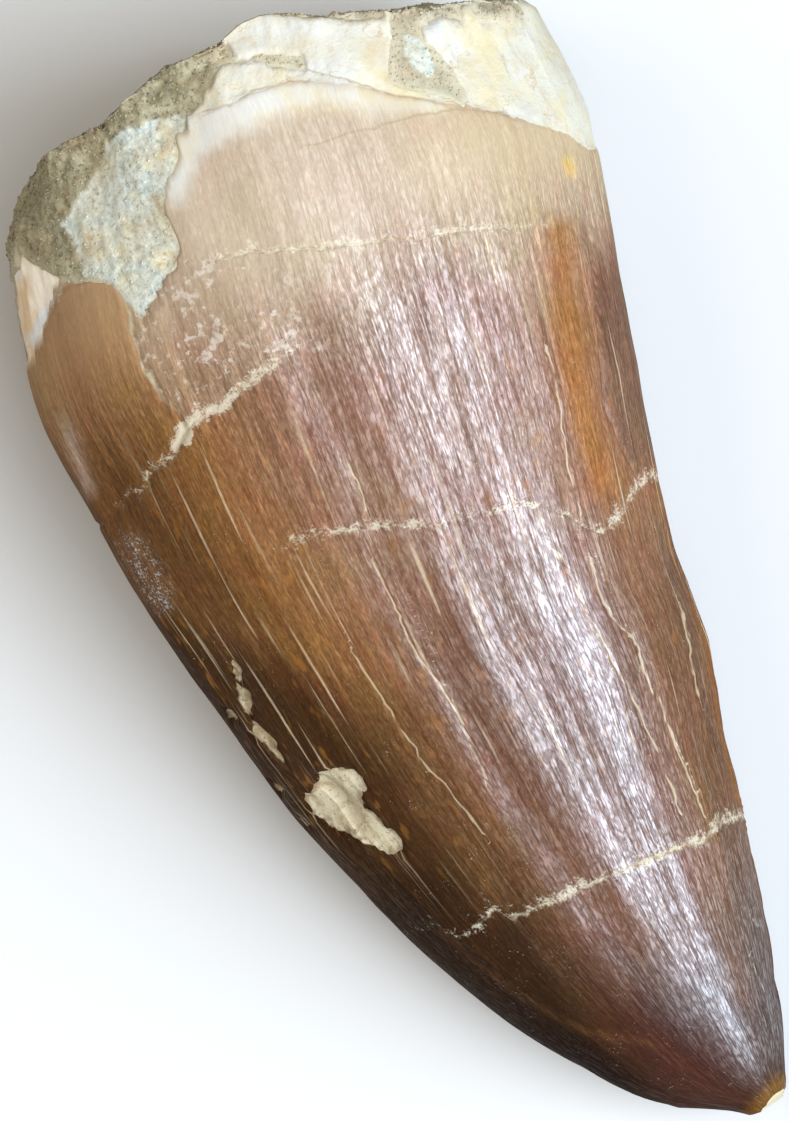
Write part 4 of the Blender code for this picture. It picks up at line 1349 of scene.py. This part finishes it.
def grain_tree(material):
    """Geometry Nodes tree that strews grains over the shown side of the matrix."""
    tree = bpy.data.node_groups.new("strewn_grains", "GeometryNodeTree")
    face = tree.interface
    face.new_socket("Geometry", in_out="INPUT", socket_type="NodeSocketGeometry")
    for name in ("Density", "Grain Size"):
        face.new_socket(name, in_out="INPUT", socket_type="NodeSocketFloat")
    face.new_socket("Seed", in_out="INPUT", socket_type="NodeSocketInt")
    face.new_socket("Geometry", in_out="OUTPUT", socket_type="NodeSocketGeometry")

    def node(kind, values=(), **settings):
        made = tree.nodes.new(kind)
        for key, value in settings.items():
            setattr(made, key, value)
        for key, value in dict(values).items():
            if isinstance(value, bpy.types.NodeSocket):
                tree.links.new(value, made.inputs[key])
            else:
                made.inputs[key].default_value = value
        return made.outputs

    def value_of(name):
        return node("GeometryNodeInputNamedAttribute", {"Name": name}, data_type="FLOAT")["Attribute"]

    def chance(low, high, seed, kind="FLOAT"):
        """A random number, or a random vector, for each grain."""
        first, output = (2, 1) if kind == "FLOAT" else (0, 0)
        values = {first: low, first + 1: high, "Seed": seed}
        return node("FunctionNodeRandomValue", values, data_type=kind)[output]

    group = node("NodeGroupInput")
    chosen = {0: value_of("shown"), 1: 0.12}
    chosen = node("FunctionNodeCompare", chosen, operation="GREATER_THAN", data_type="FLOAT")[0]
    # Few grains lie on the pale clay.
    share = node("ShaderNodeMapRange", {0: value_of("pale"), 1: -0.15, 2: 0.1, 3: 1.0, 4: 0.15})[0]
    density = node("ShaderNodeMath", {0: group["Density"], 1: share}, operation="MULTIPLY")[0]
    strewn = node(
        "GeometryNodeDistributePointsOnFaces",
        {"Mesh": group["Geometry"], "Selection": chosen, "Density": density, "Seed": group["Seed"]},
    )
    pebble = node("GeometryNodeMeshIcoSphere", {"Radius": 0.5, "Subdivisions": 1})[0]
    size = chance(0.35, 1.35, 3)
    scale = node("ShaderNodeMath", {0: size, 1: group["Grain Size"]}, operation="MULTIPLY")[0]
    flatness = chance((0.7, 0.7, 0.5), (1.2, 1.2, 0.9), 5, "FLOAT_VECTOR")
    scaled = node("ShaderNodeVectorMath", {0: flatness, 3: scale}, operation="SCALE")[0]
    turn = chance((0, 0, 0), (6.3, 6.3, 6.3), 7, "FLOAT_VECTOR")
    placed = node(
        "GeometryNodeInstanceOnPoints",
        {"Points": strewn["Points"], "Instance": pebble, "Rotation": turn, "Scale": scaled},
    )[0]
    toned = node(
        "GeometryNodeStoreNamedAttribute",
        {"Geometry": placed, "Name": "tone", "Value": chance(0.0, 1.0, 9)},
        data_type="FLOAT",
        domain="INSTANCE",
    )[0]
    real = node("GeometryNodeRealizeInstances", {"Geometry": toned})[0]
    finished = node("GeometryNodeSetMaterial", {"Geometry": real, "Material": material})[0]
    node("NodeGroupOutput", {"Geometry": finished})
    return tree


class FOSSIL_OT_add_grains(bpy.types.Operator):
    """Strew sand grains over the matrix"""

    bl_idname = "fossil.add_grains"
    bl_label = "Add Grains"

    def execute(self, context):
        matrix = context.scene.fossil_matrix
        source = bpy.data.objects["matrix_crust"]
        carrier = bpy.data.objects.new("grain_carrier", source.data.copy())
        context.scene.collection.objects.link(carrier)
        material = matrix_material("sand_grains", matrix, True)
        tree = grain_tree(material)
        modifier = carrier.modifiers.new("strewn_grains", "NODES")
        modifier.node_group = tree
        sockets = {item.name: item.identifier for item in tree.interface.items_tree if item.in_out == "INPUT"}
        modifier[sockets["Density"]] = matrix.grains_per_mm2 / MM**2
        modifier[sockets["Grain Size"]] = matrix.grain_size
        modifier[sockets["Seed"]] = 11
        context.view_layer.update()
        evaluated = carrier.evaluated_get(context.evaluated_depsgraph_get())
        mesh = bpy.data.meshes.new_from_object(evaluated)
        bpy.data.objects.remove(carrier)
        if not mesh.polygons:
            raise RuntimeError("no grains were strewn")
        made = bpy.data.objects.new("sand_grains", mesh)
        context.scene.collection.objects.link(made)
        dress(made, material, "sediment", "matrix")
        return {"FINISHED"}


def add_light(name, power, colour, size, place):
    """A rectangular light that faces the origin."""
    data = bpy.data.lights.new(name, "AREA")
    data.shape = "RECTANGLE"
    data.size, data.size_y = size
    data.energy = power
    data.color = colour
    light = bpy.data.objects.new(name, data)
    light.location = place
    light.rotation_euler = (-Vector(place)).to_track_quat("-Z", "Y").to_euler()
    bpy.context.scene.collection.objects.link(light)


class FOSSIL_OT_set_stage(bpy.types.Operator):
    """Set the table, the lights and the camera"""

    bl_idname = "fossil.set_stage"
    bl_label = "Set Stage"

    def execute(self, context):
        scene, stage = context.scene, context.scene.fossil_stage
        work = bmesh.new()
        bmesh.ops.create_grid(work, x_segments=1, y_segments=1, size=TABLE_HALF)
        mesh = bpy.data.meshes.new("table_top")
        work.to_mesh(mesh)
        work.free()
        floor = bpy.data.objects.new("table_top", mesh)
        scene.collection.objects.link(floor)
        table = Shader("table_white").finish(base_color=tuple(stage.floor), roughness=0.9)
        floor.data.materials.append(table)
        add_light("window", stage.window_power, (0.71, 0.83, 1.0), (1.0, 1.0), (0.75, -0.6, 0.83))
        add_light("overhead", stage.fill_power, (0.84, 0.89, 1.0), (0.8, 0.8), (0.25, -0.2, 1.25))
        add_light("far_side", stage.far_side_power, (1.0, 0.92, 0.8), (0.9, 0.9), (-0.65, 0.35, 1.0))
        add_light("tip_side", stage.tip_side_power, (0.8, 0.88, 1.0), (0.7, 0.6), (0.45, -1.15, 0.42))
        world = bpy.data.worlds.new("surroundings")
        world.use_nodes = True
        background = world.node_tree.nodes["Background"].inputs
        background["Color"].default_value = (1.0, 0.88, 0.7, 1.0)
        background["Strength"].default_value = stage.sky
        scene.world = world
        camera = bpy.data.cameras.new("camera")
        camera.lens = CAMERA_LENS
        camera.clip_start = 0.01
        eye = bpy.data.objects.new("camera", camera)
        eye.location = ((AIM[0] - MIDDLE_X) * MM, (AIM[1] + TIP_Y) * MM, AIM_HEIGHT * MM)
        eye.rotation_euler = (0.0, 0.0, -math.radians(CAMERA_TURN))
        scene.collection.objects.link(eye)
        scene.camera = eye
        scene.view_settings.view_transform = "Standard"
        return {"FINISHED"}


class FOSSIL_PT_panel(bpy.types.Panel):
    """Lists the tooth's pieces and its settings"""

    bl_label = "Fossil Tooth"
    bl_idname = "FOSSIL_PT_panel"
    bl_space_type = "VIEW_3D"
    bl_region_type = "UI"
    bl_category = "Fossil Tooth"

    def draw(self, context):
        for operator in OPERATORS:
            self.layout.operator(operator.bl_idname)
        for name in SETTINGS:
            box = self.layout.box()
            group = getattr(context.scene, name)
            for key in group.bl_rna.properties.keys():
                if key not in ("rna_type", "name"):
                    box.prop(group, key)


OPERATORS = (FOSSIL_OT_add_crown, FOSSIL_OT_add_matrix, FOSSIL_OT_add_grains, FOSSIL_OT_set_stage)
SETTINGS = {"fossil_crown": CrownSettings, "fossil_matrix": MatrixSettings, "fossil_stage": StageSettings}


def register():
    for item in (*SETTINGS.values(), *OPERATORS, FOSSIL_PT_panel):
        bpy.utils.register_class(item)
    for name, group in SETTINGS.items():
        setattr(bpy.types.Scene, name, bpy.props.PointerProperty(type=group))


def unregister():
    for name in SETTINGS:
        delattr(bpy.types.Scene, name)
    for item in (FOSSIL_PT_panel, *OPERATORS[::-1], *SETTINGS.values()):
        bpy.utils.unregister_class(item)


def main():
    register()
    bpy.ops.fossil.add_crown()
    bpy.ops.fossil.add_matrix()
    bpy.ops.fossil.add_grains()
    bpy.ops.fossil.set_stage()


if __name__ == "__main__":
    main()
